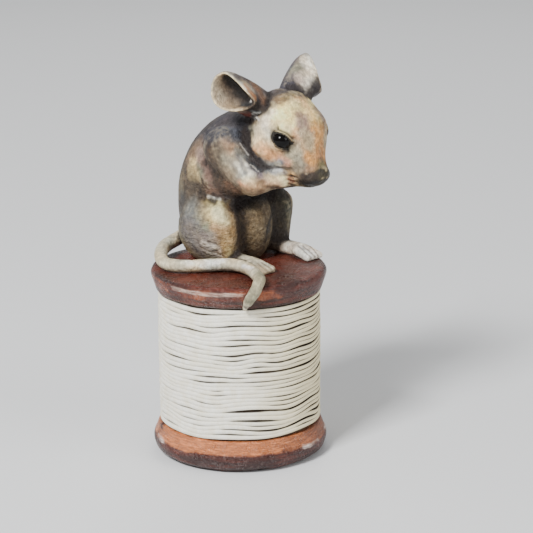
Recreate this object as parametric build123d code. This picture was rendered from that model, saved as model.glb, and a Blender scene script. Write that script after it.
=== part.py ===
from build123d import *
import os
from math import asin, cos, degrees, pi, radians, sin, sqrt

# A mouse sitting up on a reel of thread: a painted figurine, cast in parts that are pinned together.
# Millimetres. The origin is the middle of the underside, +Z is up and the mouse faces -Y.
# "Right" is the mouse's own right side, towards -X.

# The reel
reel_radius = 22.5
bottom_flange_height = 7.7
bottom_foot_radius = 20.4
bottom_rim_low = 3.0
bottom_rim_high = 4.6
bottom_collar_radius = 21.0
top_flange_height = 5.8
top_flange_under_radius = 20.9
top_flange_edge_drop = 1.7
top_flange_edge_inset = 0.9
barrel_radius = 9.0
tenon_radius = 6.0
tenon_length = 3.0
tenon_end_gap = 0.4
joint_gap = 0.1

# The felt pad under the reel
pad_radius = 18.0
pad_recess = 0.8
pad_proud = 0.4

# The thread
thread_height = 34.9
thread_diameter = 0.95
thread_turns = 24
thread_line_radius = 20.35
thread_gap = 0.1
thread_bend_radius = 1.3

# The mouse's trunk, from its seat on the reel up to its neck
seat_across = 7.0
seat_back = 10.0
torso_height = 36.0
torso_width = 24.6
torso_depth = 22.6
belly_breadth = 12.6
belly_height = 21.0
flank_radius = 4.8
breast_radius = 3.8
glue_gap = 0.1

# The head, whose axis runs from the nape to the nose
head_length = 26.6
head_width = 17.6
head_depth = 17.6
head_pitch = 45.0
nape_forward = 0.3
nape_up = 7.7
nose_width = 4.0
nose_height = 4.2
cheek_radius = 4.3
jowl_radius = 4.8
brow_radius = 3.2
nape_radius = 7.0
throat_radius = 7.2

# The eyes and ears
eye_diameter = 5.0
ear_length = 12.7
ear_breadth = 10.2
ear_bends = {"right": 3.4, "left": 2.6}
ear_hollow = 3.9
ear_wall = 0.8

# The forelegs, with their paws at the mouth
upper_arm_radius = 5.6
elbow_radius = 3.9
wrist_radius = 2.3
palm_radius = 2.5
finger_radius = 0.8
finger_length = 2.3
finger_spread = 3.2
finger_count = 4

# The hind legs
haunch_length = 18.2
haunch_height = 17.6
haunch_breadth = 11.0
knee_radius = 4.0
shin_radius = 2.6
foot_length = 12.8
foot_spread = 4.6
heel_radius = 2.0
toe_radius = 0.95
toe_count = 4

# The tail, round the haunch and over the reel's edge
tail_radius = 1.65

# The pins inside
seat_pin_radius = 1.5
seat_pin_length = 12.0
seat_pin_depth = 4.0
seat_pin_spacing = 9.0
limb_pin_radius = 1.0
limb_pin_length = 7.0
neck_pin_radius = 1.5
neck_pin_length = 11.0
tail_pin_radius = 0.6
tail_pin_length = 6.0
pin_gap = 0.1

# Heights that follow
bottom_flange_top = pad_proud + bottom_flange_height
top_flange_bottom = bottom_flange_top + thread_height
reel_height = top_flange_bottom + top_flange_height
work_space = 6 * reel_radius
sides = {"right": -1, "left": 1}


def turned(*edges):
    """A solid of revolution about Z, from an outline of (radius, height) edges."""
    return revolve(Plane.XZ * make_face(Curve() + list(edges)), Axis.Z)


def tube(outer_radius, inner_radius, bottom, top):
    """An upright sleeve between two heights."""
    ring = Circle(outer_radius) - Circle(inner_radius)
    return Pos(0, 0, bottom) * extrude(ring, top - bottom)


def oval(plane, half_width, half_depth):
    """An oval face of four arcs, each less than a half circle, that join without a corner."""
    diagonal = sqrt(half_width**2 + half_depth**2)
    cut = (diagonal - half_width + half_depth) / 2
    end_radius = cut * diagonal / half_width
    meet_x = half_width - end_radius + end_radius * half_depth / diagonal
    meet_y = end_radius * half_width / diagonal
    edges = [
        ThreePointArc((meet_x, -meet_y), (half_width, 0), (meet_x, meet_y)),
        ThreePointArc((meet_x, meet_y), (0, half_depth), (-meet_x, meet_y)),
        ThreePointArc((-meet_x, meet_y), (-half_width, 0), (-meet_x, -meet_y)),
        ThreePointArc((-meet_x, -meet_y), (0, -half_depth), (meet_x, -meet_y)),
    ]
    return plane * make_face(Curve() + edges)


def bone(start, end, start_radius, end_radius):
    """A rounded limb: two balls and the cone that is tangent to both."""
    reach = end - start
    lean = degrees(asin((start_radius - end_radius) / reach.length))
    start_arc = CenterArc((0, 0), start_radius, -90, 90 + lean)
    end_arc = CenterArc((0, reach.length), end_radius, lean, 90 - lean)
    outline = [
        start_arc,
        Line(start_arc @ 1, end_arc @ 0),
        end_arc,
        Line(end_arc @ 1, start_arc @ 0),
    ]
    return Plane(origin=start, z_dir=reach) * turned(*outline)


def ellipsoid(centre, half_across, half_along, half_high):
    """A ball stretched along the three axes."""
    return Pos(*centre) * scale(Sphere(1), by=(half_across, half_along, half_high))


def peg(middle, direction, radius, length):
    """A round pin, or the hole for one, about its middle."""
    return Plane(origin=middle, z_dir=direction) * Cylinder(radius, length)


def pin_hole(middle, direction, radius, length):
    """The blind hole that a pin of this size is glued into."""
    return peg(middle, direction, radius + pin_gap, length + 2 * pin_gap)


def upper_half():
    """A block that fills everything above the XY plane."""
    return Box(work_space, work_space, work_space, align=(Align.CENTER, Align.CENTER, Align.MIN))


def above_reel(shape):
    """What is left of a shape when it is ground flat to sit on the reel."""
    return shape & Pos(0, 0, reel_height) * upper_half()


def largest(shape):
    """The biggest solid of a cut shape, without the slivers that a cut can leave."""
    return Part() + shape.solids().sort_by(SortBy.VOLUME)[-1]


# Places on the mouse. Each share is of the trunk's or the head's own size, forward is towards -Y.
def trunk_place(up_share, forward_share, across_share=0, side=0):
    return Vector(
        seat_across + side * across_share * torso_width,
        seat_back - forward_share * torso_depth,
        reel_height + up_share * torso_height,
    )


# Trunk sections: up, forward, lean in degrees, half width and half depth.
torso_shares = [
    (0.00, 0.000, 0, 0.400, 0.405),
    (0.14, -0.035, 0, 0.465, 0.485),
    (0.36, -0.060, 0, 0.500, 0.500),
    (0.59, -0.050, 6, 0.472, 0.482),
    (0.755, 0.044, 20, 0.423, 0.425),
    (0.861, 0.195, 38, 0.378, 0.363),
    (0.928, 0.389, 52, 0.333, 0.319),
    (0.978, 0.597, 60, 0.309, 0.301),
]


belly_shares = (0.256, 0.31)
flank_shares = (0.603, 0.155, 0.317)
breast_shares = (0.633, 0.575, 0.325)


def torso_shape(grow=0):
    """The trunk: a lofted back, a round belly, and a fold of flesh under each arm."""
    sections = []
    for up, forward, lean, half_width, half_depth in torso_shares:
        plane = Plane(
            origin=trunk_place(up, forward),
            x_dir=(1, 0, 0),
            z_dir=(0, -sin(radians(lean)), cos(radians(lean))),
        )
        sections.append(oval(plane, half_width * torso_width + grow, half_depth * torso_depth + grow))
    belly_half = belly_breadth / 2 + grow
    trunk = loft(sections)
    trunk += ellipsoid(trunk_place(*belly_shares), belly_half, belly_half, belly_height / 2 + grow)
    for side in sides.values():
        flank = trunk_place(*flank_shares, side)
        breast = trunk_place(*breast_shares, side)
        trunk += bone(flank, breast, flank_radius + grow, breast_radius + grow)
    return above_reel(trunk)


neck_place = trunk_place(torso_shares[-1][0], torso_shares[-1][1])
nape_place = neck_place + Vector(0, -nape_forward, nape_up)
head_direction = Vector(0, -cos(radians(head_pitch)), -sin(radians(head_pitch)))
head_up = Vector(0, -sin(radians(head_pitch)), cos(radians(head_pitch)))


def head_place(along_share, up_share, across_share=0, side=0):
    along = head_direction * (along_share * head_length)
    up = head_up * (up_share * head_depth / 2)
    return nape_place + along + up + Vector(side * across_share * head_width / 2, 0, 0)


# Head sections: along, up, half width and half depth.
head_shares = [
    (0.000, 0.00, 0.27, 0.27),
    (0.050, 0.00, 0.57, 0.57),
    (0.140, 0.00, 0.82, 0.82),
    (0.280, 0.00, 0.98, 0.98),
    (0.380, 0.00, 1.00, 1.00),
    (0.490, 0.08, 0.96, 0.95),
    (0.610, 0.06, 0.82, 0.82),
    (0.730, -0.07, 0.61, 0.65),
    (0.840, -0.17, 0.47, 0.50),
    (0.920, -0.15, 0.40, 0.38),
    (0.980, -0.10, 0.28, 0.26),
    (1.000, -0.08, 0.14, 0.12),
]


nose_shares = (0.925, 0.05)
cheek_shares = (0.56, -0.42, 0.42)
jowl_shares = (0.423, -0.52, 0.52)
brow_shares = (0.48, 0.38, 0.60)
throat_shares = (0.303, -0.24)
nape_ball_shares = (0.908, 0.376)


def head_shape(grow=0):
    sections = []
    for along, up, half_width, half_depth in head_shares:
        plane = Plane(origin=head_place(along, up), x_dir=(1, 0, 0), z_dir=head_direction)
        width = half_width * head_width / 2 + grow
        sections.append(oval(plane, width, half_depth * head_depth / 2 + grow))
    nose_half = nose_width / 2 + grow
    nose = ellipsoid(head_place(*nose_shares), nose_half, nose_half, nose_height / 2 + grow)
    head = loft(sections) + nose
    throat = head_place(*throat_shares)
    head += bone(throat, trunk_place(*nape_ball_shares), throat_radius + grow, nape_radius + grow)
    for side in sides.values():
        head += Pos(*head_place(*cheek_shares, side)) * Sphere(cheek_radius + grow)
        head += Pos(*head_place(*jowl_shares, side)) * Sphere(jowl_radius + grow)
        head += Pos(*head_place(*brow_shares, side)) * Sphere(brow_radius + grow)
    return head


# Places that the limbs share with their neighbours
eye_shares = (0.516, 0.21, 0.80)
ear_root_shares = (0.197, 0.08, 0.40)
ear_rim_middle_shares = {"right": (-0.075, 0.22, 1.45), "left": (-0.073, 0.34, 1.62)}
ear_opening_direction = (0.945, -0.26, -0.18)
ear_long_direction = (-0.31, -0.89, -0.34)
shoulder_shares = (0.853, 0.354, 0.386)
elbow_shares = (0.650, 0.748, 0.374)
wrist_shares = (0.70, -0.99, 0.65)
palm_shares = (0.75, -0.78, 0.43)
finger_direction = (-0.35, -0.90, 0.10)
finger_taper_share = 0.8
haunch_shares = (0.242, 0.097, 0.407)
knee_shares = (0.353, 0.363, 0.427)
shin_shares = (0.075, 0.420, 0.378)
heel_shares = (0.053, 0.376, 0.378)
foot_ball_share = 0.65
foot_taper_share = 0.88
knuckle_share = 0.6
knuckle_swell_share = 1.35
toe_lift_share = 0.75


# Sections of an ear: how far from rim to root, half length and half breadth.
ear_section_shares = [
    (0.00, 1.00, 1.00),
    (0.25, 0.94, 0.98),
    (0.50, 0.80, 0.92),
    (0.75, 0.69, 0.85),
    (1.00, 0.60, 0.74),
]


def ear_shape(name, side):
    """A horn that bends from the ear's rim down into the head, hollowed out from its rim."""
    across, forward, up = ear_opening_direction
    inward = Vector(side * across, forward, up).normalized() * -1
    across, forward, up = ear_long_direction
    lengthwise = Vector(side * across, forward, up)
    rim = head_place(*ear_rim_middle_shares[name], side)
    root = head_place(*ear_root_shares, side)
    bend = rim + inward * ear_bends[name]
    sections = []
    for along, length_share, breadth_share in ear_section_shares:
        place = rim * (1 - along) ** 2 + bend * (2 * along * (1 - along)) + root * along**2
        direction = (inward * (1 - along**2) + (root - rim).normalized() * along**2).normalized()
        level = lengthwise - direction * lengthwise.dot(direction)
        plane = Plane(origin=place, x_dir=level, z_dir=direction)
        sections.append(oval(plane, ear_length / 2 * length_share, ear_breadth / 2 * breadth_share))
    level = lengthwise - inward * lengthwise.dot(inward)
    hollow = scale(Sphere(1), by=(ear_length / 2 - ear_wall, ear_breadth / 2 - ear_wall, ear_hollow))
    return loft(sections) - Plane(origin=rim, x_dir=level, z_dir=inward) * hollow


def foreleg_shape(side):
    shoulder = trunk_place(*shoulder_shares, side)
    elbow = trunk_place(*elbow_shares, side)
    wrist = head_place(*wrist_shares, side)
    palm = head_place(*palm_shares, side)
    leg = bone(shoulder, elbow, upper_arm_radius, elbow_radius)
    leg += bone(elbow, wrist, elbow_radius, wrist_radius)
    leg += bone(wrist, palm, wrist_radius, palm_radius)
    across, forward, up = finger_direction
    reach = Vector(side * across, forward, up).normalized()
    for finger in range(finger_count):
        spread = (finger / (finger_count - 1) - 1 / 2) * finger_spread
        knuckle = palm + reach * (palm_radius - finger_radius) + Vector(0, 0, spread)
        tip = knuckle + reach * finger_length
        leg += bone(knuckle, tip, finger_radius, finger_radius * finger_taper_share)
    return leg


def haunch_shape(side, grow=0):
    middle = trunk_place(*haunch_shares, side)
    knee = trunk_place(*knee_shares, side)
    shin = trunk_place(*shin_shares, side)
    sizes = [size / 2 + grow for size in (haunch_breadth, haunch_length, haunch_height)]
    return ellipsoid(middle, *sizes) + bone(knee, shin, knee_radius + grow, shin_radius + grow)


def foot_shape(side, grow=0):
    heel = trunk_place(*heel_shares, side)
    ball_place = heel + Vector(0, -foot_length * foot_ball_share, 0)
    foot = bone(heel, ball_place, heel_radius + grow, heel_radius * foot_taper_share + grow)
    for toe in range(toe_count):
        spread = (toe / (toe_count - 1) - 1 / 2) * foot_spread
        knuckle = ball_place + Vector(spread * knuckle_share, 0, 0)
        tip = Vector(heel.X + spread, heel.Y - foot_length, reel_height + toe_radius * toe_lift_share)
        foot += bone(knuckle, tip, toe_radius * knuckle_swell_share + grow, toe_radius + grow)
    return foot


# The tail's middle line: degrees round the reel from +X, the distance from its axis as a share of its
# radius, the lift above its top as a share of the tail's radius there, the drop below its top as a share
# of the top flange's height, and the tail's thickness there as a share of its middle thickness.
tail_shares = [
    (72, 0.78, 2.60, 0.00, 1.25),
    (86, 0.92, 2.20, 0.00, 1.18),
    (105, 0.92, 1.70, 0.00, 1.10),
    (122, 0.90, 1.40, 0.00, 1.05),
    (138, 0.87, 1.12, 0.00, 1.00),
    (151, 0.82, 1.08, 0.00, 1.00),
    (161, 0.69, 1.08, 0.00, 1.00),
    (168, 0.54, 1.08, 0.00, 1.00),
    (180, 0.40, 1.12, 0.00, 1.00),
    (202, 0.33, 1.20, 0.00, 0.98),
    (224, 0.40, 1.30, 0.00, 0.97),
    (236, 0.56, 1.14, 0.00, 0.95),
    (237, 0.78, 1.08, 0.00, 0.93),
    (236, 0.93, 1.06, 0.00, 0.91),
    (233.5, 1.03, 0.60, 0.00, 0.90),
    (230.8, 1.07, 0.00, 0.14, 0.87),
    (228.5, 1.056, 0.00, 0.40, 0.80),
    (226.8, 1.028, 0.00, 0.66, 0.66),
    (225.8, 0.99, 0.00, 0.86, 0.44),
    (225.2, 0.965, 0.00, 0.97, 0.22),
]
tail_root_station = 1


def tail_route():
    places = []
    for turn, distance, lift, drop, thickness in tail_shares:
        half = tail_radius * thickness
        away = reel_radius * distance
        height = reel_height + half * lift - top_flange_height * drop
        places.append((Vector(away * cos(radians(turn)), away * sin(radians(turn)), height), half))
    return places


def tail_shape():
    places = tail_route()
    sections = []
    for number, (place, half) in enumerate(places):
        before = places[max(number - 1, 0)][0]
        after = places[min(number + 1, len(places) - 1)][0]
        along = after - before
        sideways = along.cross(Vector(0, 0, 1))
        sections.append(oval(Plane(origin=place, x_dir=sideways, z_dir=along), half, half))
    return loft(sections)


def biarc(start, start_direction, end, end_direction):
    """Two arcs between two places and directions, which share a tangent where they meet."""
    chord = end - start
    spread = 2 * (1 - start_direction.dot(end_direction))
    along = 2 * chord.dot(start_direction + end_direction)
    reach = (sqrt(along**2 + 4 * spread * chord.dot(chord)) - along) / (2 * spread)
    middle = (start + end + (start_direction - end_direction) * reach) / 2
    shared = chord - (start_direction + end_direction) * reach
    return [
        TangentArc(start, middle, tangent=start_direction),
        TangentArc(middle, end, tangent=shared),
    ]


thread_pitch = (thread_height - thread_diameter - 2 * thread_gap) / thread_turns
thread_start_height = bottom_flange_top + thread_gap + thread_diameter / 2


def thread_place(turns):
    turn = 2 * pi * turns
    height = thread_start_height + thread_pitch * turns
    return Vector(thread_line_radius * cos(turn), thread_line_radius * sin(turn), height)


def thread_direction(turns):
    turn = 2 * pi * turns
    around = 2 * pi * thread_line_radius
    return Vector(-around * sin(turn), around * cos(turn), thread_pitch).normalized()


def tuck(turns, way):
    """The straight end and bend that tuck the thread into the layer below: way is 1 first, -1 last."""
    surface = thread_place(turns)
    turn = degrees(2 * pi * turns)
    inner_radius = thread_line_radius - thread_bend_radius
    offset = degrees(asin(thread_bend_radius / inner_radius))
    leg_turn = radians(turn - way * offset)
    outward = Vector(cos(leg_turn), sin(leg_turn), 0)
    leg_end_radius = inner_radius * cos(radians(offset))
    height = Vector(0, 0, surface.Z)
    leg_end = height + outward * leg_end_radius
    leg_start = height + outward * (leg_end_radius - thread_diameter)
    around = Vector(-sin(radians(turn)), cos(radians(turn)), 0) * way
    bend = TangentArc(leg_end, surface, tangent=outward)
    return Line(leg_start, leg_end), bend, around


def thread_path():
    first_leg, first_bend, first_way = tuck(0, 1)
    last_leg, last_bend, last_way = tuck(thread_turns, -1)
    edges = [first_leg, first_bend]
    half_turns = 2 * thread_turns
    for half_turn in range(half_turns):
        start = half_turn / 2
        end = start + 1 / 2
        start_direction = first_way if half_turn == 0 else thread_direction(start)
        end_direction = last_way * -1 if half_turn == half_turns - 1 else thread_direction(end)
        edges += biarc(thread_place(start), start_direction, thread_place(end), end_direction)
    return edges + [last_bend, last_leg]


def tube_along(edges, radius):
    """A round tube swept along edges that join end to end."""
    path = Wire(edges)
    section = Plane(origin=path @ 0, z_dir=path % 0) * Circle(radius)
    return sweep(section, path)


def print_thread_gap(edges):
    """The least gap between turns, measured on points along the thread's middle line."""
    steps = 12
    helix = edges[2:-2]
    points = [edge.position_at(step / steps) for edge in helix for step in range(steps)]
    half_turn = len(points) // (2 * thread_turns)
    least = min(
        (points[later] - points[early]).length
        for early in range(len(points))
        for later in range(early + half_turn, min(early + 3 * half_turn, len(points)))
    )
    print("least gap between the turns of thread", round(least - thread_diameter, 3))


def reel_parts():
    recess_top = pad_proud + pad_recess
    recess_radius = pad_radius + joint_gap
    socket_radius = tenon_radius + joint_gap
    socket_depth = tenon_length + tenon_end_gap
    pad = Pos(0, 0, (pad_proud + pad_recess) / 2) * Cylinder(pad_radius, pad_proud + pad_recess)

    bottom_outline = [
        Polyline((0, recess_top), (recess_radius, recess_top), (recess_radius, pad_proud)),
        Line((recess_radius, pad_proud), (bottom_foot_radius, pad_proud)),
        TangentArc((reel_radius, bottom_rim_low), (bottom_foot_radius, pad_proud), tangent=(0, -1)),
        Polyline(
            (reel_radius, bottom_rim_low),
            (reel_radius, bottom_rim_high),
            (bottom_collar_radius, bottom_flange_top),
            (socket_radius, bottom_flange_top),
            (socket_radius, bottom_flange_top - socket_depth),
            (0, bottom_flange_top - socket_depth),
            (0, recess_top),
        ),
    ]
    bottom_flange = turned(*bottom_outline)

    edge_low = reel_height - top_flange_edge_drop
    edge_in = reel_radius - top_flange_edge_inset
    top_outline = [
        Polyline(
            (0, reel_height),
            (0, top_flange_bottom + socket_depth),
            (socket_radius, top_flange_bottom + socket_depth),
            (socket_radius, top_flange_bottom),
            (top_flange_under_radius, top_flange_bottom),
            (reel_radius, edge_low),
        ),
        TangentArc((reel_radius, edge_low), (edge_in, reel_height), tangent=(0, 1)),
        Line((edge_in, reel_height), (0, reel_height)),
    ]
    top_flange = turned(*top_outline)

    tenon_bottom = bottom_flange_top - tenon_length
    tenon_reach = thread_height + 2 * tenon_length
    barrel = Pos(0, 0, bottom_flange_top + thread_height / 2) * Cylinder(barrel_radius, thread_height)
    barrel += Pos(0, 0, tenon_bottom + tenon_reach / 2) * Cylinder(tenon_radius, tenon_reach)

    core_radius = thread_line_radius - thread_diameter / 2 - thread_gap
    core = tube(core_radius, barrel_radius + joint_gap, bottom_flange_top, top_flange_bottom)
    edges = thread_path()
    print_thread_gap(edges)
    for ends in (edges[:2], edges[-2:]):
        core -= tube_along(ends, thread_diameter / 2 + thread_gap)
    return {
        "base_pad": pad,
        "bottom_flange": bottom_flange,
        "top_flange": top_flange,
        "barrel": barrel,
        "thread_core": core,
        "thread_winding": tube_along(edges, thread_diameter / 2),
    }


def mouse_parts(top_flange):
    parts = {}
    pins = {}
    torso = torso_shape()
    torso_room = torso_shape(glue_gap)
    head_room = head_shape(glue_gap)
    head = head_shape()
    for name, side in sides.items():
        # The balls' poles point outwards, so that no seam crosses the edge of a socket.
        socket = Plane(origin=head_place(*eye_shares, side), z_dir=(side, 0, 0))
        parts["eye_" + name] = socket * Sphere(eye_diameter / 2)
        head -= socket * Sphere(eye_diameter / 2 + glue_gap)
    head = largest(head - torso_room)

    seat_pins = []
    for side in sides.values():
        rise = seat_pin_length / 2 - seat_pin_depth
        middle = trunk_place(0, 0) + Vector(side * seat_pin_spacing / 2, 0, rise)
        seat_pins.append(peg(middle, (0, 0, 1), seat_pin_radius, seat_pin_length))
        hole = pin_hole(middle, (0, 0, 1), seat_pin_radius, seat_pin_length)
        torso -= hole
        top_flange -= hole
    pins["seat_pins"] = seat_pins

    neck_lean = radians(torso_shares[-1][2])
    neck_direction = (0, -sin(neck_lean), cos(neck_lean))
    pins["neck_pin"] = [peg(neck_place, neck_direction, neck_pin_radius, neck_pin_length)]
    neck_hole = pin_hole(neck_place, neck_direction, neck_pin_radius, neck_pin_length)
    torso -= neck_hole
    head -= neck_hole

    arm_pins = []
    leg_pins = []
    for name, side in sides.items():
        foreleg = above_reel(foreleg_shape(side)) - torso_room - head_room
        haunch = above_reel(haunch_shape(side)) - torso_room
        shoulder = trunk_place(*shoulder_shares, side)
        hip = trunk_place(*haunch_shares, side)
        shoulder_middle = shoulder - Vector(side * upper_arm_radius / 2, 0, 0)
        hip_middle = hip - Vector(side * haunch_breadth / 4, 0, 0)
        arm_pins.append(peg(shoulder_middle, (1, 0, 0), limb_pin_radius, limb_pin_length))
        leg_pins.append(peg(hip_middle, (1, 0, 0), limb_pin_radius, limb_pin_length))
        arm_hole = pin_hole(shoulder_middle, (1, 0, 0), limb_pin_radius, limb_pin_length)
        leg_hole = pin_hole(hip_middle, (1, 0, 0), limb_pin_radius, limb_pin_length)
        torso -= arm_hole
        torso -= leg_hole
        parts["foreleg_" + name] = largest(foreleg - arm_hole)
        parts["haunch_" + name] = largest(haunch - leg_hole)
        parts["ear_" + name] = largest(ear_shape(name, side) - head_room - torso_room)
    right = sides["right"]
    foot = above_reel(foot_shape(right)) - torso_room - haunch_shape(right, glue_gap)
    parts["hind_foot_right"] = largest(foot)
    middle_plane = Plane(origin=(seat_across, 0, 0), z_dir=(1, 0, 0))
    parts["hind_foot_left"] = mirror(parts["hind_foot_right"], about=middle_plane)
    pins["foreleg_pins"] = arm_pins
    pins["haunch_pins"] = leg_pins

    route = [place for place, half in tail_route()]
    tail_root = route[tail_root_station]
    tail_direction = route[tail_root_station + 1] - route[tail_root_station - 1]
    pins["tail_pin"] = [peg(tail_root, tail_direction, tail_pin_radius, tail_pin_length)]
    tail_hole = pin_hole(tail_root, tail_direction, tail_pin_radius, tail_pin_length)
    torso -= tail_hole
    tail = tail_shape() - torso_room - tail_hole
    for room in (haunch_shape(right, glue_gap), foot_shape(right, glue_gap)):
        tail -= room
    parts["tail"] = largest(tail)
    parts["torso"] = torso
    parts["head"] = head
    parts["top_flange"] = top_flange
    for name, solids in pins.items():
        parts[name] = Compound(children=solids)
    return parts


os.makedirs("parts", exist_ok=True)
parts = reel_parts()
parts.update(mouse_parts(parts["top_flange"]))
for name, shape in parts.items():
    export_step(shape, f"parts/{name}.step")
print(len(parts), "parts")
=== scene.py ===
# %% [markdown]
# A small painted figurine: a mouse sits on a reel of thread. On the real one, the mouse is cast in resin
# from a hand-carved master, so its skin is one run of soft lumps, thin creases and brushed paint.
# The frame brings in the measured parts, and the script then dresses them. All lengths are in metres.

import math

import bmesh
import bpy
import numpy as np
from mathutils import Matrix, Vector, noise
from mathutils.bvhtree import BVHTree


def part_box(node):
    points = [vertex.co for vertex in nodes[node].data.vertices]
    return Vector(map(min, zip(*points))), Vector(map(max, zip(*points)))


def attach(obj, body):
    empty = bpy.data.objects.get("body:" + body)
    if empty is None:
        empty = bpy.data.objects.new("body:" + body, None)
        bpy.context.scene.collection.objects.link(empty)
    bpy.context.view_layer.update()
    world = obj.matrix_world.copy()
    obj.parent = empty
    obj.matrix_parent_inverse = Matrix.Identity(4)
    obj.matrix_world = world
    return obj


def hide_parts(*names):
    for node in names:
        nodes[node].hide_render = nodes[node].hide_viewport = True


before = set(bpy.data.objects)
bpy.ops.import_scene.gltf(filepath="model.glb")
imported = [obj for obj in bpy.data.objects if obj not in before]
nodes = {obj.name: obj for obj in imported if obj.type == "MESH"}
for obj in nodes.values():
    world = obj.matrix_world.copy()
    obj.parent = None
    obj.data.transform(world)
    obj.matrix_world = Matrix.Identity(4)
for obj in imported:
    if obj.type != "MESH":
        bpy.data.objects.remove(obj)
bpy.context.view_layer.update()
mm = 0.001
print("parts in the frame:", len(nodes))

# %% [markdown]
# The camera stands where the photographer stood: a little above the mouse, on its front right side, half a
# metre away, with a long lens. Its place and turn are given as numbers in the part's own frame.

# %% The camera
picture_side = 533
camera_azimuth = math.radians(-48)
camera_pitch = 0.268
camera_yaw = 0.014
camera_roll = -0.006
camera_away = 506.7 * mm
camera_height = 187.4 * mm
focal_pixels = 2052
sensor_width = 36

right_level = Vector((math.cos(camera_azimuth), math.sin(camera_azimuth), 0))
away_level = Vector((-math.sin(camera_azimuth), math.cos(camera_azimuth), 0))
camera_place = away_level * -camera_away + Vector((0, 0, camera_height))
ahead_level = away_level * math.cos(camera_yaw) + right_level * math.sin(camera_yaw)
ahead = ahead_level * math.cos(camera_pitch) - Vector((0, 0, math.sin(camera_pitch)))
right_turned = right_level * math.cos(camera_yaw) - away_level * math.sin(camera_yaw)
up_turned = right_turned.cross(ahead)
camera_right = right_turned * math.cos(camera_roll) + up_turned * math.sin(camera_roll)
camera_up = up_turned * math.cos(camera_roll) - right_turned * math.sin(camera_roll)

lens = bpy.data.cameras.new("camera")
lens.sensor_width = sensor_width
lens.lens = focal_pixels * sensor_width / picture_side
lens.clip_start = 0.01
camera = bpy.data.objects.new("camera", lens)
bpy.context.scene.collection.objects.link(camera)
turn = Matrix((camera_right, camera_up, -ahead)).transposed().to_4x4()
camera.matrix_world = Matrix.Translation(camera_place) @ turn
bpy.context.scene.camera = camera
print("lens", round(lens.lens, 1), "mm")


def sight_line(x, y):
    """The camera's place and the direction in which it sees a point of its picture."""
    half = picture_side / 2
    along = ahead + camera_right * ((x - half) / focal_pixels) - camera_up * ((y - half) / focal_pixels)
    return camera_place, along.normalized()


# %% [markdown]
# The stage is a plain pale floor and soft light from all sides. One lamp high on the left models the shapes,
# and two weaker ones open the shadows, so that painted colours come out about as they are written.

# %% The stage and the light
lamp_aim = Vector((0, 0, 60)) * mm
world = bpy.data.worlds.new("plain studio")
bpy.context.scene.world = world
world.use_nodes = True
world_nodes = world.node_tree.nodes
world_links = world.node_tree.links
sky = world_nodes["Background"]
sky.inputs["Color"].default_value = (1, 1, 1, 1)
sky.inputs["Strength"].default_value = 0.45
backdrop = world_nodes.new("ShaderNodeBackground")
backdrop.inputs["Color"].default_value = (0.80, 0.82, 0.84, 1)
seen = world_nodes.new("ShaderNodeLightPath")
choice = world_nodes.new("ShaderNodeMixShader")
world_links.new(seen.outputs["Is Camera Ray"], choice.inputs[0])
world_links.new(sky.outputs[0], choice.inputs[1])
world_links.new(backdrop.outputs[0], choice.inputs[2])
world_links.new(choice.outputs[0], world_nodes["World Output"].inputs["Surface"])

bpy.ops.mesh.primitive_plane_add(size=3, location=(0, 0, 0))
floor = bpy.context.object
floor.name = "floor"
floor_paint = bpy.data.materials.new("pale floor")
floor_paint.use_nodes = True
floor_shader = floor_paint.node_tree.nodes["Principled BSDF"]
floor_shader.inputs["Base Color"].default_value = (0.74, 0.75, 0.76, 1)
floor_shader.inputs["Roughness"].default_value = 0.9
floor.data.materials.append(floor_paint)


def softbox(name, place, size, power, colour=(1, 1, 1)):
    """A square lamp that faces the middle of the figurine."""
    lamp = bpy.data.lights.new(name, "AREA")
    lamp.size = size
    lamp.energy = power
    lamp.color = colour
    holder = bpy.data.objects.new(name, lamp)
    bpy.context.scene.collection.objects.link(holder)
    holder.location = place
    aim = lamp_aim - Vector(place)
    holder.rotation_euler = aim.to_track_quat("-Z", "Y").to_euler()


softbox("key lamp", (-0.88, -0.12, 0.85), 0.30, 23.0)
softbox("fill lamp", (0.15, -0.9, 0.45), 0.5, 3.0)
softbox("rim lamp", (0.6, 0.5, 0.7), 0.4, 2.0)
print("lamps: 3")

# %% [markdown]
# A few small helpers keep each later step short. They pick an object, work on its whole mesh in edit mode,
# copy a measured part into a new piece, hand a finished piece to the frame, and turn a painter's 0 to 255
# colour into the renderer's own numbers.

# %% Helpers
def pick(*objects):
    """Only these objects are selected, and the first is active."""
    if bpy.context.object and bpy.context.object.mode != "OBJECT":
        bpy.ops.object.mode_set(mode="OBJECT")
    bpy.ops.object.select_all(action="DESELECT")
    for thing in objects:
        thing.select_set(True)
    bpy.context.view_layer.objects.active = objects[0]


def edit_all(thing, *steps):
    """Runs edit-mode operators on the object's whole mesh. Each step is an operator and its settings."""
    pick(thing)
    bpy.ops.object.mode_set(mode="EDIT")
    for operator, settings in steps:
        bpy.ops.mesh.select_all(action="SELECT")
        operator(**settings)
    bpy.ops.object.mode_set(mode="OBJECT")


def new_object(name, mesh):
    thing = bpy.data.objects.new(name, mesh)
    bpy.context.scene.collection.objects.link(thing)
    return thing


def copy_of_part(node, name):
    """A new piece with the shape of a measured part, its loose triangles merged."""
    thing = new_object(name, nodes[node].data.copy())
    thing.data.materials.clear()
    edit_all(thing, (bpy.ops.mesh.remove_doubles, {"threshold": 0.002 * mm}))
    return thing


def use_modifier(thing, kind, **settings):
    """Adds a modifier with these settings and applies it."""
    pick(thing)
    modifier = thing.modifiers.new(kind.lower(), kind)
    for setting, value in settings.items():
        setattr(modifier, setting, value)
    bpy.ops.object.modifier_apply(modifier=modifier.name)


def points_of(mesh):
    flat = np.empty(len(mesh.vertices) * 3)
    mesh.vertices.foreach_get("co", flat)
    return flat.reshape(-1, 3)


def normals_of(mesh):
    flat = np.empty(len(mesh.vertices) * 3)
    mesh.vertices.foreach_get("normal", flat)
    return flat.reshape(-1, 3)


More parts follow.
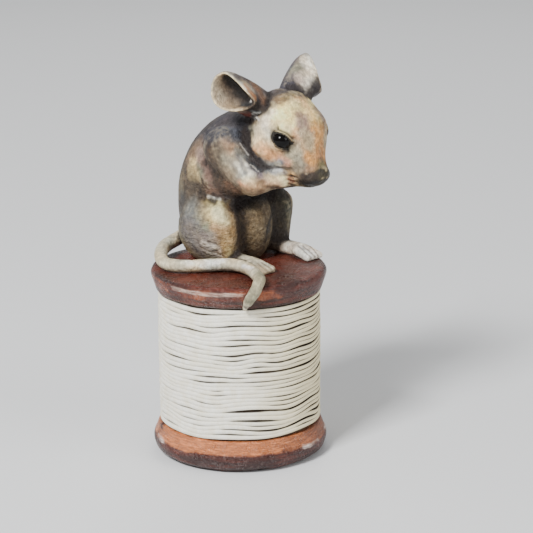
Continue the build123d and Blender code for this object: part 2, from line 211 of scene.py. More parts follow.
def set_points(mesh, points):
    mesh.vertices.foreach_set("co", points.ravel())
    mesh.update()


def waves_on(places, scale, offset=(0, 0, 0)):
    """Smooth noise from about -1 to 1 at every place, in lumps of about one over scale."""
    return np.array([noise.noise(Vector(place) * scale + Vector(offset)) for place in places])


def hand_over(thing, slot, *stands_for):
    """Hangs the piece under the root body and hides the measured parts it stands for. The slot is not used.
    """
    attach(thing, "root")
    if stands_for:
        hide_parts(*stands_for)


def colour(red, green, blue):
    """A colour as on a painter's card, from 0 to 255, in the renderer's linear numbers."""
    shares = [value / 255 for value in (red, green, blue)]
    return [share / 12.92 if share <= 0.04045 else ((share + 0.055) / 1.055) ** 2.4 for share in shares]


# %% [markdown]
# Two effects come back in several finishes, so each is a node group: "mottle" breaks a colour up with soft
# blotches and fine speckle, as a stippling brush does, and "streaks" draws lines that run level round the
# reel, as on varnish that was dragged on with a stiff brush. Short functions stand for the nodes used most.

# %% Shared effects
def group_with(name, numbers, outputs):
    """An empty node group with number inputs and these outputs, and its two end nodes."""
    tree = bpy.data.node_groups.new(name, "ShaderNodeTree")
    tree.interface.new_socket("Vector", in_out="INPUT", socket_type="NodeSocketVector")
    for label, value in numbers.items():
        socket = tree.interface.new_socket(label, in_out="INPUT", socket_type="NodeSocketFloat")
        socket.default_value = value
    for label in outputs:
        tree.interface.new_socket(label, in_out="OUTPUT", socket_type="NodeSocketFloat")
    return tree, tree.nodes.new("NodeGroupInput"), tree.nodes.new("NodeGroupOutput")


def noise_node(tree, vector, scale, detail=4, roughness=0.55):
    made = tree.nodes.new("ShaderNodeTexNoise")
    made.inputs["Detail"].default_value = detail
    made.inputs["Roughness"].default_value = roughness
    if isinstance(scale, (int, float)):
        made.inputs["Scale"].default_value = scale
    else:
        tree.links.new(scale, made.inputs["Scale"])
    tree.links.new(vector, made.inputs["Vector"])
    return made.outputs["Fac"]


def maths(tree, operation, first, second=None, third=None, clamp=False):
    made = tree.nodes.new("ShaderNodeMath")
    made.operation = operation
    made.use_clamp = clamp
    for place, value in enumerate((first, second, third)):
        if value is None:
            continue
        if isinstance(value, (int, float)):
            made.inputs[place].default_value = value
        else:
            tree.links.new(value, made.inputs[place])
    return made.outputs[0]


def times(tree, *values):
    """The product of numbers and node outputs."""
    product = values[0]
    for value in values[1:]:
        product = maths(tree, "MULTIPLY", product, value)
    return product


def plus(tree, first, second):
    return maths(tree, "ADD", first, second)


def scaled(tree, value, factor, base):
    """The value times a factor, plus a base."""
    return maths(tree, "MULTIPLY_ADD", value, factor, base)


def ramp(tree, value, low, high):
    """0 below low and 1 above high, smooth between them."""
    made = tree.nodes.new("ShaderNodeMapRange")
    made.interpolation_type = "SMOOTHSTEP"
    made.inputs["From Min"].default_value = low
    made.inputs["From Max"].default_value = high
    tree.links.new(value, made.inputs["Value"])
    return made.outputs["Result"]


def mixed(tree, share, first, second, blend="MIX"):
    """One colour over another: each is three numbers or a node's output."""
    made = tree.nodes.new("ShaderNodeMix")
    made.data_type = "RGBA"
    made.blend_type = blend
    if isinstance(share, (int, float)):
        made.inputs[0].default_value = share
    else:
        tree.links.new(share, made.inputs[0])
    for place, value in ((6, first), (7, second)):
        if isinstance(value, (list, tuple)):
            made.inputs[place].default_value = (*value, 1)
        else:
            tree.links.new(value, made.inputs[place])
    return made.outputs[2]


mottle_numbers = {"Blotch Scale": 300, "Speckle Scale": 2500}
mottle, ends_in, ends_out = group_with("mottle", mottle_numbers, ["Blotch", "Speckle"])
blotch = noise_node(mottle, ends_in.outputs["Vector"], ends_in.outputs["Blotch Scale"], 5, 0.6)
speckle = noise_node(mottle, ends_in.outputs["Vector"], ends_in.outputs["Speckle Scale"], 3, 0.6)
mottle.links.new(ramp(mottle, blotch, 0.35, 0.65), ends_out.inputs["Blotch"])
mottle.links.new(ramp(mottle, speckle, 0.3, 0.7), ends_out.inputs["Speckle"])

streaks, ends_in, ends_out = group_with("streaks", {"Scale": 120, "Stretch": 7}, ["Broad", "Fine"])
spread = streaks.nodes.new("ShaderNodeCombineXYZ")
spread.inputs[0].default_value = 1
spread.inputs[1].default_value = 1
streaks.links.new(ends_in.outputs["Stretch"], spread.inputs[2])
drawn = streaks.nodes.new("ShaderNodeVectorMath")
drawn.operation = "MULTIPLY"
streaks.links.new(ends_in.outputs["Vector"], drawn.inputs[0])
streaks.links.new(spread.outputs[0], drawn.inputs[1])
broad = noise_node(streaks, drawn.outputs[0], ends_in.outputs["Scale"], 4, 0.6)
fine_scale = times(streaks, ends_in.outputs["Scale"], 3.2)
fine = noise_node(streaks, drawn.outputs[0], fine_scale, 5, 0.7)
streaks.links.new(ramp(streaks, broad, 0.36, 0.64), ends_out.inputs["Broad"])
streaks.links.new(ramp(streaks, fine, 0.38, 0.62), ends_out.inputs["Fine"])
print("shared effects:", mottle.name, streaks.name)


def use_group(tree, group, vector, **values):
    made = tree.nodes.new("ShaderNodeGroup")
    made.node_tree = group
    tree.links.new(vector, made.inputs["Vector"])
    for label, value in values.items():
        made.inputs[label.replace("_", " ")].default_value = value
    return made.outputs


def material(name, roughness=0.5):
    """A new finish: its tree, its surface shader and the object's own coordinates."""
    made = bpy.data.materials.new(name)
    made.use_nodes = True
    tree = made.node_tree
    shader = tree.nodes["Principled BSDF"]
    shader.inputs["Roughness"].default_value = roughness
    place = tree.nodes.new("ShaderNodeTexCoord").outputs["Object"]
    return made, tree, shader, place


def two_tone(name, roughness, effect, mask, cards, **values):
    """A finish of two colours, mixed by one output of a shared effect."""
    made, tree, shader, place = material(name, roughness)
    masks = use_group(tree, effect, place, **values)
    first, second = (colour(*card) for card in cards)
    tree.links.new(mixed(tree, masks[mask], first, second), shader.inputs["Base Color"])
    return made, tree, shader, masks


def bump(tree, shader, height, distance):
    made = tree.nodes.new("ShaderNodeBump")
    made.inputs["Distance"].default_value = distance
    made.inputs["Strength"].default_value = 1
    tree.links.new(height, made.inputs["Height"])
    tree.links.new(made.outputs[0], shader.inputs["Normal"])


# %% [markdown]
# The reel's flanges are turned shapes, so each is spun from its outline, as on a lathe. The real ones are
# casts of a worn reel: their edges are soft and they are nowhere quite true, so each is nudged afterwards.

# %% Turned flanges
def turned_piece(name, outline, steps=160):
    """A piece spun about Z from (radius, height) points in millimetres, from the axis and back to it."""
    mesh = bpy.data.meshes.new(name)
    points = [(radius * mm, 0, height * mm) for radius, height in outline]
    mesh.from_pydata(points, [(n, n + 1) for n in range(len(points) - 1)], [])
    thing = new_object(name, mesh)
    once_round = {"steps": steps, "angle": 2 * math.pi, "center": (0, 0, 0), "axis": (0, 0, 1)}
    edit_all(
        thing, (bpy.ops.mesh.spin, once_round), (bpy.ops.mesh.remove_doubles, {"threshold": 0.001 * mm}),
        (bpy.ops.mesh.normals_make_consistent, {"inside": False}),
    )
    bpy.ops.object.shade_smooth()
    return thing


def rounded(outline, radius=0.5, steps=4):
    """The outline with each inner corner replaced by a short curve."""
    curved = [outline[0]]
    for before, corner, after in zip(outline, outline[1:], outline[2:]):
        corner, before, after = (Vector(point) for point in (corner, before, after))
        reach_in = min(radius, (before - corner).length * 0.45)
        reach_out = min(radius, (after - corner).length * 0.45)
        start = corner + (before - corner).normalized() * reach_in
        end = corner + (after - corner).normalized() * reach_out
        for step in range(steps + 1):
            share = step / steps
            point = start * (1 - share) ** 2 + corner * 2 * share * (1 - share) + end * share**2
            curved.append(tuple(point))
    return curved + [outline[-1]]


def filled(outline, step=0.7):
    """The outline with long runs divided, so that the piece can be nudged evenly."""
    dense = [outline[0]]
    for before, after in zip(outline, outline[1:]):
        before, after = Vector(before), Vector(after)
        parts = max(1, round((after - before).length / step))
        dense += [tuple(before.lerp(after, n / parts)) for n in range(1, parts + 1)]
    return dense


def nudge(thing, size, scale, seed):
    """Moves the skin in and out by up to size, in lumps of about one over scale."""
    mesh = thing.data
    points = points_of(mesh)
    normals = normals_of(mesh)
    amounts = waves_on(points, scale, (seed, seed * 0.37, seed * 0.71))
    set_points(mesh, points + normals * (amounts * size)[:, None])


reel_low, reel_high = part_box("bottom_flange")
bottom_top = reel_high[2] / mm
reel_radius = reel_high[0] / mm
top_low, top_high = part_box("top_flange")
top_under = top_low[2] / mm
reel_height = top_high[2] / mm
foot = reel_low[2] / mm

bottom_outline = [
    (0, foot + 0.5), (17.6, foot + 0.5), (18.4, foot), (20.6, foot), (22.0, foot + 1.0),
    (reel_radius, foot + 2.8), (reel_radius - 0.05, foot + 4.1), (22.0, foot + 4.75),
    (21.1, bottom_top - 0.35), (20.6, bottom_top), (0, bottom_top),
]
top_outline = [
    (0, top_under), (20.7, top_under), (21.2, top_under + 0.3), (22.35, reel_height - 2.2),
    (reel_radius, reel_height - 1.1), (22.1, reel_height - 0.25), (21.2, reel_height), (0, reel_height),
]
bottom_flange = turned_piece("reel_bottom_flange", filled(rounded(bottom_outline)))
top_flange = turned_piece("reel_top_flange", filled(rounded(top_outline)))
out_of_true = 0.10 * mm
nudge(bottom_flange, out_of_true, 260, 3.1)
nudge(top_flange, out_of_true, 260, 8.4)
hand_over(bottom_flange, "reel_wood", "bottom_flange")
hand_over(top_flange, "reel_wood", "top_flange")
print("flanges:", len(bottom_flange.data.polygons), len(top_flange.data.polygons), "faces")

# %% [markdown]
# The thread is one strand that climbs the reel turn by turn. It could be a stack of rings, but real thread
# never lies evenly: turns crowd, part and ride up on each other. So the strand's height and depth wander, and
# much the same in neighbouring turns, because each turn follows the one under it.

# %% The thread
thread_turns = 29
steps_per_turn = 150
sides_of_thread = 12
thread_flatness = 0.8
strand_inset = 0.52 * mm
thread_middle_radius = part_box("thread_winding")[1][0] - strand_inset
end_from_flange = 0.45 * mm
low_end = bottom_top * mm + end_from_flange
high_end = top_under * mm - end_from_flange
turn_rise = (high_end - low_end) / thread_turns
settling_turns = 1.5
shared_wander = 0.9 * mm
own_wander = 0.40 * mm
ride_up = 0.16 * mm
belly_out = 0.12 * mm


def thread_line():
    """Points along the strand's middle, and how thick it is at each."""
    places = []
    thicknesses = []
    for step in range(thread_turns * steps_per_turn + 1):
        turns = step / steps_per_turn
        angle = 2 * math.pi * turns
        round_about = Vector((math.cos(angle), math.sin(angle), 0))
        height = low_end + turn_rise * turns
        there = Vector((round_about.x * 2.2, round_about.y * 2.2, height / turn_rise * 0.16))
        own = Vector((round_about.x * 1.7, round_about.y * 1.7, turns * 0.83 + 40))
        ends = min(1, turns / settling_turns, (thread_turns - turns) / settling_turns)
        wander = noise.noise(there) * shared_wander * ends + noise.noise(own) * own_wander * ends
        ride = noise.noise(own + Vector((9, 4, 2))) * ride_up
        ride += math.sin(math.pi * turns / thread_turns) * belly_out
        height = min(max(height + wander, low_end), high_end)
        places.append(round_about * (thread_middle_radius + ride) + Vector((0, 0, height)))
        thicknesses.append(turn_rise * (0.56 + 0.10 * noise.noise(own * 1.7 + Vector((3, 7, 5)))))
    return places, thicknesses


def ring_faces(rings, sides):
    """The faces between neighbouring rings of equally many points."""
    faces = []
    for ring in range(rings - 1):
        for side in range(sides):
            first, second = ring * sides + side, ring * sides + (side + 1) % sides
            faces.append((first, second, second + sides, first + sides))
    return faces


def tube(name, places, radii, sides, squash):
    """A closed tube along points that lie round the reel. squash flattens it towards the reel."""
    points = []
    for number, (place, radius) in enumerate(zip(places, radii)):
        before = places[max(number - 1, 0)]
        after = places[min(number + 1, len(places) - 1)]
        along = (after - before).normalized()
        outward = Vector((place.x, place.y, 0)).normalized()
        across = along.cross(outward).normalized()
        outward = across.cross(along)
        for side in range(sides):
            angle = 2 * math.pi * side / sides
            points.append(place + (outward * math.cos(angle) * squash + across * math.sin(angle)) * radius)
    faces = ring_faces(len(places), sides)
    faces.append(tuple(reversed(range(sides))))
    faces.append(tuple(range((len(places) - 1) * sides, len(places) * sides)))
    mesh = bpy.data.meshes.new(name)
    mesh.from_pydata(points, [], faces)
    thing = new_object(name, mesh)
    edit_all(thing, (bpy.ops.mesh.normals_make_consistent, {"inside": False}))
    bpy.ops.object.shade_smooth()
    return thing


thread_places, thread_radii = thread_line()
thread = tube("thread_strand", thread_places, thread_radii, sides_of_thread, thread_flatness)
turned_in = (1 - np.cos(2 * math.pi * np.arange(sides_of_thread) / sides_of_thread)) / 2
turned_in_layer = thread.data.attributes.new("turned in", "FLOAT", "POINT")
turned_in_layer.data.foreach_set("value", np.tile(turned_in, len(thread_places)))
hand_over(thread, "thread", "thread_winding")
print("thread:", thread_turns, "turns,", len(thread.data.polygons), "faces")

# %% [markdown]
# The reel's finish is dark red varnish over brown paint. It is lighter and more orange where the paint was
# wiped thin, mostly on the slope of the lower flange, and a little below the upper rim. The wiped places come
# from a point's height and its distance from the axis. Noise makes their edges wander, level streaks break
# them up, and they fade towards the right, which is painted shade on the reel's shaded side. Pale patches
# just below the upper rim and along the lower flange's edge are painted highlights.

# %% Reel finish
def round_and_up(tree, place):
    """A point's distance from the reel's axis, and its height."""
    parts = tree.nodes.new("ShaderNodeSeparateXYZ")
    tree.links.new(place, parts.inputs[0])
    flat = tree.nodes.new("ShaderNodeCombineXYZ")
    tree.links.new(parts.outputs["X"], flat.inputs["X"])
    tree.links.new(parts.outputs["Y"], flat.inputs["Y"])
    length = tree.nodes.new("ShaderNodeVectorMath")
    length.operation = "LENGTH"
    tree.links.new(flat.outputs[0], length.inputs[0])
    return length.outputs["Value"], parts.outputs["Z"]


def toward_right(tree, place):
    """How far a point of the reel lies towards the right of the picture."""
    made = tree.nodes.new("ShaderNodeVectorMath")
    made.operation = "DOT_PRODUCT"
    made.inputs[1].default_value = (0.70, -0.70, 0)
    tree.links.new(place, made.inputs[0])
    return made.outputs["Value"]


def band(tree, value, low, high, edge):
    """1 between low and high, falling to 0 over edge on both sides."""
    rise = ramp(tree, value, low - edge, low)
    fall = ramp(tree, value, high, high + edge)
    return maths(tree, "SUBTRACT", rise, fall, clamp=True)


def reel_finish(name, base, warm, dark, pale, warm_band, highlight_band, dark_bands, wiped_from, wave):
    """Each band: low, high and edge. A low wiped_from wipes more, and wave is how far noise shifts bands."""
    made, tree, shader, place = material(name)
    lines = use_group(tree, streaks, place, Scale=95, Stretch=9)
    spots = use_group(tree, mottle, place, Blotch_Scale=260, Speckle_Scale=1500)
    distance, height = round_and_up(tree, place)
    outer = ramp(tree, distance, 18.6 * mm, 20.2 * mm)
    wavy = maths(tree, "SUBTRACT", noise_node(tree, place, 130, 3, 0.6), 0.5)
    height = plus(tree, height, times(tree, wavy, wave))
    coat = mixed(tree, times(tree, lines["Broad"], 0.7), base, dark)
    coat = mixed(tree, times(tree, lines["Fine"], 0.45), coat, dark)
    wiped = ramp(tree, noise_node(tree, place, 110, 4, 0.65), wiped_from, wiped_from + 0.16)
    streaky = scaled(tree, lines["Fine"], -0.5, 1.0)
    # Painted shade: the wiped orange fades out towards the right of the reel, its shaded side
    shade_to_the_right = scaled(tree, ramp(tree, toward_right(tree, place), 5 * mm, 20 * mm), -0.6, 1.0)
    worn = times(tree, band(tree, height, *warm_band), outer, wiped, streaky, shade_to_the_right)
    coat = mixed(tree, worn, coat, warm)
    # Painted highlights: pale patches in the highlight band, broken up by the fine streaks
    painted_highlight = ramp(tree, noise_node(tree, place, 75, 3, 0.6), 0.52, 0.62)
    painted_highlight = times(tree, painted_highlight, band(tree, height, *highlight_band), outer, scaled(tree, lines["Fine"], 0.8, 0.2))
    coat = mixed(tree, times(tree, painted_highlight, 0.8), coat, pale)
    for low, high, edge, amount in dark_bands:
        shade = times(tree, band(tree, height, low, high, edge), lines["Broad"], outer, amount)
        coat = mixed(tree, shade, coat, dark)
    fleck = times(tree, maths(tree, "SUBTRACT", spots["Speckle"], 0.55, clamp=True), 0.12)
    coat = mixed(tree, fleck, coat, pale)
    tree.links.new(coat, shader.inputs["Base Color"])
    tree.links.new(scaled(tree, spots["Blotch"], 0.22, 0.22), shader.inputs["Roughness"])
    bump(tree, shader, plus(tree, lines["Fine"], spots["Speckle"]), 0.16 * mm)
    return made


def below_top(*depths):
    """Heights on the reel, from depths in millimetres below its upper face."""
    return [(reel_height - depth) * mm for depth in depths]


# The pale colour of each finish paints its highlights and its pale flecks
upper_finish = reel_finish(
    "reel paint, upper",
    colour(106, 43, 27), colour(170, 92, 54), colour(42, 14, 9), colour(220, 190, 172),
    (*below_top(3.2, 1.4), 1.0 * mm), (*below_top(2.1, 1.4), 0.4 * mm),
    [(*below_top(6.0, 4.2), 0.9 * mm, 0.8), (*below_top(0.7, 0.1), 0.25 * mm, 0.75)],
    0.46, 0.8 * mm,
)
lower_finish = reel_finish(
    "reel paint, lower",
    colour(96, 42, 30), colour(218, 132, 80), colour(46, 17, 12), colour(246, 226, 214),
    (5.2 * mm, 9.5 * mm, 0.7 * mm), (4.6 * mm, 5.2 * mm, 0.4 * mm),
    [(0.4 * mm, 3.6 * mm, 0.6 * mm, 0.9)],
    0.29, 2.2 * mm,
)
top_flange.data.materials.append(upper_finish)
bottom_flange.data.materials.append(lower_finish)
print("reel finishes:", upper_finish.name, "and", lower_finish.name)

# %% [markdown]
# The thread is painted off-white, and a dark brown wash has run into the grooves between its turns. The
# strand carries an attribute that says how far each point is turned in, towards the reel, so that the wash
# can follow the grooves. It lies thick in some places and thin in others, and it grows towards the right,
# where it is painted shade as well. The right side is also tinted cream, as painted warm light.

# %% Thread finish
thread_finish, tree, shader, place = material("thread, off-white with a dark wash", 0.75)
turned = tree.nodes.new("ShaderNodeAttribute")
turned.attribute_name = "turned in"
by_turn = tree.nodes.new("ShaderNodeMapping")
by_turn.inputs["Scale"].default_value = (1, 1, 11)
tree.links.new(place, by_turn.inputs["Vector"])
patchy = times(tree, noise_node(tree, place, 95, 3, 0.6), 0.4)
patchy = plus(tree, patchy, times(tree, noise_node(tree, by_turn.outputs[0], 75, 2, 0.5), 0.6))
rightward = toward_right(tree, place)
# The wash is patchy, and heavier towards the right, where it is painted shade as well
patchy_wash_and_shade = ramp(tree, plus(tree, patchy, times(tree, rightward, 9)), 0.38, 0.62)
wash_from = scaled(tree, patchy_wash_and_shade, -0.17, 0.27)
groove = maths(tree, "SUBTRACT", turned.outputs["Fac"], wash_from)
groove = maths(tree, "DIVIDE", groove, 0.10, clamp=True)
fine_spots = use_group(tree, mottle, place, Blotch_Scale=420, Speckle_Scale=3000)
coat = mixed(tree, fine_spots["Blotch"], colour(248, 246, 236), colour(238, 232, 212))
coat = mixed(tree, times(tree, fine_spots["Speckle"], 0.18), coat, colour(208, 198, 172))
# Painted light: the right side of the thread is tinted cream, as if lit warm
warm_light_side = times(tree, ramp(tree, rightward, -6 * mm, 20 * mm), 0.9)
coat = mixed(tree, warm_light_side, coat, colour(240, 226, 182))
wash = times(tree, groove, scaled(tree, patchy_wash_and_shade, 0.6, 0.4))
coat = mixed(tree, wash, coat, colour(52, 42, 32))
tree.links.new(coat, shader.inputs["Base Color"])
bump(tree, shader, fine_spots["Speckle"], 0.06 * mm)
thread.data.materials.append(thread_finish)
core_cards = [(70, 50, 36), (110, 88, 66)]
core_finish = two_tone(
    "thread below, in shadow", 0.85, mottle, "Blotch", core_cards, Blotch_Scale=300, Speckle_Scale=2600
)[0]
print("thread finishes:", thread_finish.name, "and", core_finish.name)

# %% [markdown]
# Ear rims, creases and strokes of paint are all placed the same way. A sight line runs from the camera
# through a point of the picture, and the place is where it meets a plane or the skin, or where it passes
# nearest to the skin. The mouse's middle plane then carries the place to the other side.

# %% Where features lie
middle_mm = 7
middle_x = middle_mm * mm
nearest_mm, farthest_mm = 440, 620
cast_parts = [
    "torso", "head", "ear_right", "ear_left", "foreleg_right", "foreleg_left", "haunch_right",
    "haunch_left", "hind_foot_right", "hind_foot_left", "tail",
]


def surface_of(mesh):
    """A search tree over a mesh."""
    mesh.calc_loop_triangles()
    corners = np.empty(len(mesh.loop_triangles) * 3, dtype=int)
    mesh.loop_triangles.foreach_get("vertices", corners)
    return BVHTree.FromPolygons(points_of(mesh).tolist(), corners.reshape(-1, 3).tolist())


def on_surface(tree, x, y):
    """The point of a surface that the camera sees at a point of its picture, or the nearest beside it."""
    start, along = sight_line(x, y)
    hit = tree.ray_cast(start, along)[0]
    if hit is not None:
        return hit
    places = [start + along * (away * mm) for away in range(nearest_mm, farthest_mm)]
    found = [tree.find_nearest(place) for place in places]
    return min(found, key=lambda near: near[3])[0]


def on_plane(x, y, origin, normal):
    """Where the sight line through a point of the picture meets a plane."""
    start, along = sight_line(x, y)
    return start + along * ((origin - start).dot(normal) / along.dot(normal))


def lump(place, radii):
    """A ball of clay, in millimetres, stretched along X, Y and Z."""
    bpy.ops.mesh.primitive_uv_sphere_add(segments=40, ring_count=20, location=[v * mm for v in place])
    ball = bpy.context.object
    ball.scale = [v * mm for v in radii]
    bpy.ops.object.transform_apply(location=True, rotation=True, scale=True)
    return ball


print("middle plane at x =", middle_mm, "mm")

# %% [markdown]
# An ear is a horn that opens at its rim and bends down into the head, hollowed out like a scoop. Its rim is a
# drawn outline, and rings of the same outline that shrink along a curve make its wall, outside and inside.
# The right ear's rim follows the photograph. The left one is the same turned over, a little larger and
# standing a little further out.

# %% The ears
ear_wall = 0.7 * mm
ear_outline = [
    (222, 71.5), (214.5, 76), (210.8, 84), (210.3, 93), (212.3, 101), (217.5, 107.5), (225, 111),
    (234, 112), (243, 111), (250, 108.5), (255.5, 104), (254, 99.5), (250, 94.5), (246, 89.7),
    (242, 85), (238, 81), (234, 77.3), (230, 74.2), (226, 72),
]
near_rim_middle = Vector((-5.8, -3.8, 94.5)) * mm
near_opening = Vector((-0.945, -0.26, -0.18)).normalized()
near_long_way = Vector((0.31, -0.89, -0.34))
near_ear_root = Vector((3.5, -8.0, 88.5)) * mm
far_shift = Vector((1.9, -1.2, 0.2)) * mm
far_ear_share = 1.12
near_bend, far_bend = 3.4 * mm, 2.6 * mm
horn_places = [0, 0.25, 0.5, 0.75, 1]
horn_lengths = [1, 0.94, 0.80, 0.69, 0.60]
horn_breadths = [1, 0.98, 0.92, 0.85, 0.74]
ear_hollow_share = 0.55
hollow_steps = 9
outside_steps = 12


def smooth_loop(loop, count):
    """A closed loop resampled to count even points along a smooth curve."""
    dense = []
    size = len(loop)
    for number in range(size):
        before, start, end, after = (loop[(number + shift) % size] for shift in (-1, 0, 1, 2))
        for step in range(8):
            t = step / 8
            dense.append(
                0.5 * ((2 * start) + (end - before) * t + (2 * before - 5 * start + 4 * end - after) * t * t
                       + (3 * start - before - 3 * end + after) * t**3)
            )
    lengths = [0]
    for first, second in zip(dense, dense[1:] + dense[:1]):
        lengths.append(lengths[-1] + (second - first).length)
    even = []
    place = 0
    for number in range(count):
        goal = lengths[-1] * number / count
        while lengths[place + 1] < goal:
            place += 1
        share = (goal - lengths[place]) / (lengths[place + 1] - lengths[place])
        even.append(dense[place].lerp(dense[(place + 1) % len(dense)], share))
    return even


def ear_rings(rim, opening, long_way, root, bend, alongs, shrinks, wall):
    """Rings of the rim's outline along the horn's curve, each with its own shrinkage."""
    centre = sum(rim, Vector()) / len(rim)
    elbow = centre - opening * bend
    rings = []
    for along, shrink in zip(alongs, shrinks):
        place = centre * (1 - along) ** 2 + elbow * (2 * along * (1 - along)) + root * along**2
        heading = (opening * -(1 - along**2) + (root - centre).normalized() * along**2).normalized()
        turn = (-opening).rotation_difference(heading)
        length_share = np.interp(along, horn_places, horn_lengths)
        breadth_share = np.interp(along, horn_places, horn_breadths)
        ring = []
        for point in rim:
            offset = point - centre
            lengthwise = long_way * offset.dot(long_way)
            offset = lengthwise * length_share + (offset - lengthwise) * breadth_share
            ring.append(place + turn @ (offset * ((1 - wall / offset.length) * shrink)))
        rings.append(ring)
    return rings


def skin_of_rings(name, rings):
    """A closed skin over rings of equally many points, each end drawn together to a point."""
    count = len(rings[0])
    points = [point for ring in rings for point in ring]
    points += [sum(rings[0], Vector()) / count, sum(rings[-1], Vector()) / count]
    faces = ring_faces(len(rings), count)
    last = (len(rings) - 1) * count
    faces += [((side + 1) % count, side, len(points) - 2) for side in range(count)]
    faces += [(last + side, last + (side + 1) % count, len(points) - 1) for side in range(count)]
    mesh = bpy.data.meshes.new(name)
    mesh.from_pydata(points, [], faces)
    return new_object(name, mesh)


def ear_horn(name, rim, opening, long_way, root, bend):
    """The whole ear, and a search tree over its hollow."""
    long_way = (long_way - opening * long_way.dot(opening)).normalized()
    shape = (rim, opening, long_way, root, bend)
    turns = [math.pi / 2 * step / hollow_steps for step in range(hollow_steps)]
    depths = [ear_hollow_share * math.sin(turn) for turn in turns]
    shrinks = [math.cos(turn) ** 0.6 for turn in turns]
    hollow = ear_rings(*shape, depths, shrinks, ear_wall)
    places = [step / outside_steps for step in range(outside_steps + 1)]
    outside = ear_rings(*shape, places, [1] * len(places), 0)
    edge = [(first + second) / 2 + opening * ear_wall * 0.3 for first, second in zip(hollow[0], outside[0])]
    inner = skin_of_rings(name + " hollow", hollow)
    hollow_tree = surface_of(inner.data)
    bpy.data.objects.remove(inner)
    horn = skin_of_rings(name, hollow[::-1] + [edge] + outside)
    edit_all(horn, (bpy.ops.mesh.normals_make_consistent, {"inside": False}))
    return horn, hollow_tree


def turned_over(point):
    """The same place on the mouse's other side."""
    return Vector((2 * middle_x - point.x, point.y, point.z))


near_rim = [on_plane(x, y, near_rim_middle, near_opening) for x, y in ear_outline]
near_rim = smooth_loop(near_rim, 72)
near_centre = sum(near_rim, Vector()) / len(near_rim)
far_rim = [near_centre + (point - near_centre) * far_ear_share for point in near_rim]
far_rim = [turned_over(point) + far_shift for point in far_rim]
far_opening = Vector((-near_opening.x, near_opening.y, near_opening.z))
far_long_way = Vector((-near_long_way.x, near_long_way.y, near_long_way.z))
far_ear_root = turned_over(near_ear_root)
near_ear, near_hollow = ear_horn("near ear", near_rim, near_opening, near_long_way, near_ear_root, near_bend)
far_ear, far_hollow = ear_horn("far ear", far_rim, far_opening, far_long_way, far_ear_root, far_bend)
print("ear rims:", len(near_rim), "and", len(far_rim), "points")

# %% [markdown]
# The mouse's skin is built up like clay. Copies of the measured parts give its masses, and a few lumps are
# pressed on the head: a mound round each eye, the whisker pads and the chin. They could stay apart, but then
# every joint would show as a sharp line. So a voxel remesh melts them into one skin. Growing the skin,
# remeshing it and shrinking it back fills every sharp inner corner with a soft fillet: a wide one between the
# body's masses, and a narrow one where ears, feet and tail meet them.

# %% The clay and its skin
def joined(name, objects):
    pick(*objects)
    bpy.ops.object.join()
    objects[0].name = name
    return objects[0]


eye_middles = {}
for side in ("right", "left"):
    low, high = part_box("eye_" + side)
    eye_middles[side] = (Vector(low) + Vector(high)) / 2
eye_radius = (high[2] - low[2]) / 2

clay = {name: copy_of_part(name, "clay " + name) for name in cast_parts if not name.startswith("ear_")}
clay["ear_right"] = near_ear
clay["ear_left"] = far_ear
face_clay = []
for side, sign in (("right", -1), ("left", 1)):
    middle = Vector(eye_middles[side]) / mm
    # A low mound round the eye, and a whisker pad beside the nose
    face_clay.append(lump(middle - Vector((sign * 1.7, -1.0, 0.1)), (3.9, 4.3, 3.8)))
    face_clay.append(lump((middle_mm + sign * 2.5, -19.6, 73.9), (1.8, 2.5, 2.1)))
# The chin behind the paws
face_clay.append(lump((middle_mm, -17.5, 72.2), (2.6, 3.0, 1.8)))
clay["head"] = joined("clay head", [clay["head"]] + face_clay)
trees = {name: surface_of(clay[name].data) for name in cast_parts}
wide_fillet, coarse_grain = 1.5 * mm, 0.42 * mm
narrow_fillet, fine_grain = 0.4 * mm, 0.32 * mm


def filleted(thing, size, voxel):
    """Fills the inner corners of a skin with fillets of about this size."""
    use_modifier(thing, "REMESH", mode="VOXEL", voxel_size=voxel)
    use_modifier(thing, "DISPLACE", strength=size, mid_level=0)
    use_modifier(thing, "REMESH", mode="VOXEL", voxel_size=voxel)
    use_modifier(thing, "DISPLACE", strength=-size, mid_level=0)


masses = [name for name in cast_parts if name.startswith(("torso", "head", "foreleg", "haunch"))]
skin = joined("mouse skin", [clay[name] for name in masses])
filleted(skin, wide_fillet, coarse_grain)
use_modifier(skin, "SMOOTH", factor=0.5, iterations=8)
skin = joined("mouse skin", [skin] + [clay[name] for name in cast_parts if name not in masses])
filleted(skin, narrow_fillet, fine_grain)
use_modifier(skin, "SMOOTH", factor=0.5, iterations=5)
print("skin:", len(skin.data.vertices), "points")

# %% [markdown]
# Creases and ridges are drawn on the skin as a wooden tool draws them: each is a line of points in the
# photograph's pixels, laid on the nearest skin, with a width and a depth, and drawn on both sides. Then the
# eyelids are opened by pushing the skin in over an almond shape, so that the bead of the eye shows.

# %% Drawing on the skin
skin_tree = surface_of(skin.data)
points = points_of(skin.data)
normals = normals_of(skin.data)


def folded(places):
    """Places on either side, brought over to the right side."""
    places = np.array(places, dtype=float).reshape(-1, 3)
    places[:, 0] = middle_x - np.abs(places[:, 0] - middle_x)
    return places


def reach_to_line(places, line):
    """The distance from each place to the nearest run of a line, and how far along the line that is."""
    best = np.full(len(places), 1e9)
    along = np.zeros(len(places))
    for number, (start, end) in enumerate(zip(line, line[1:])):
        run = end - start
        share = np.clip((places - start) @ run / max(run @ run, 1e-12), 0, 1)
        gap = np.linalg.norm(places - start - share[:, None] * run, axis=1)
        closer = gap < best
        best = np.where(closer, gap, best)
        along = np.where(closer, (number + share) / (len(line) - 1), along)
    return best, along


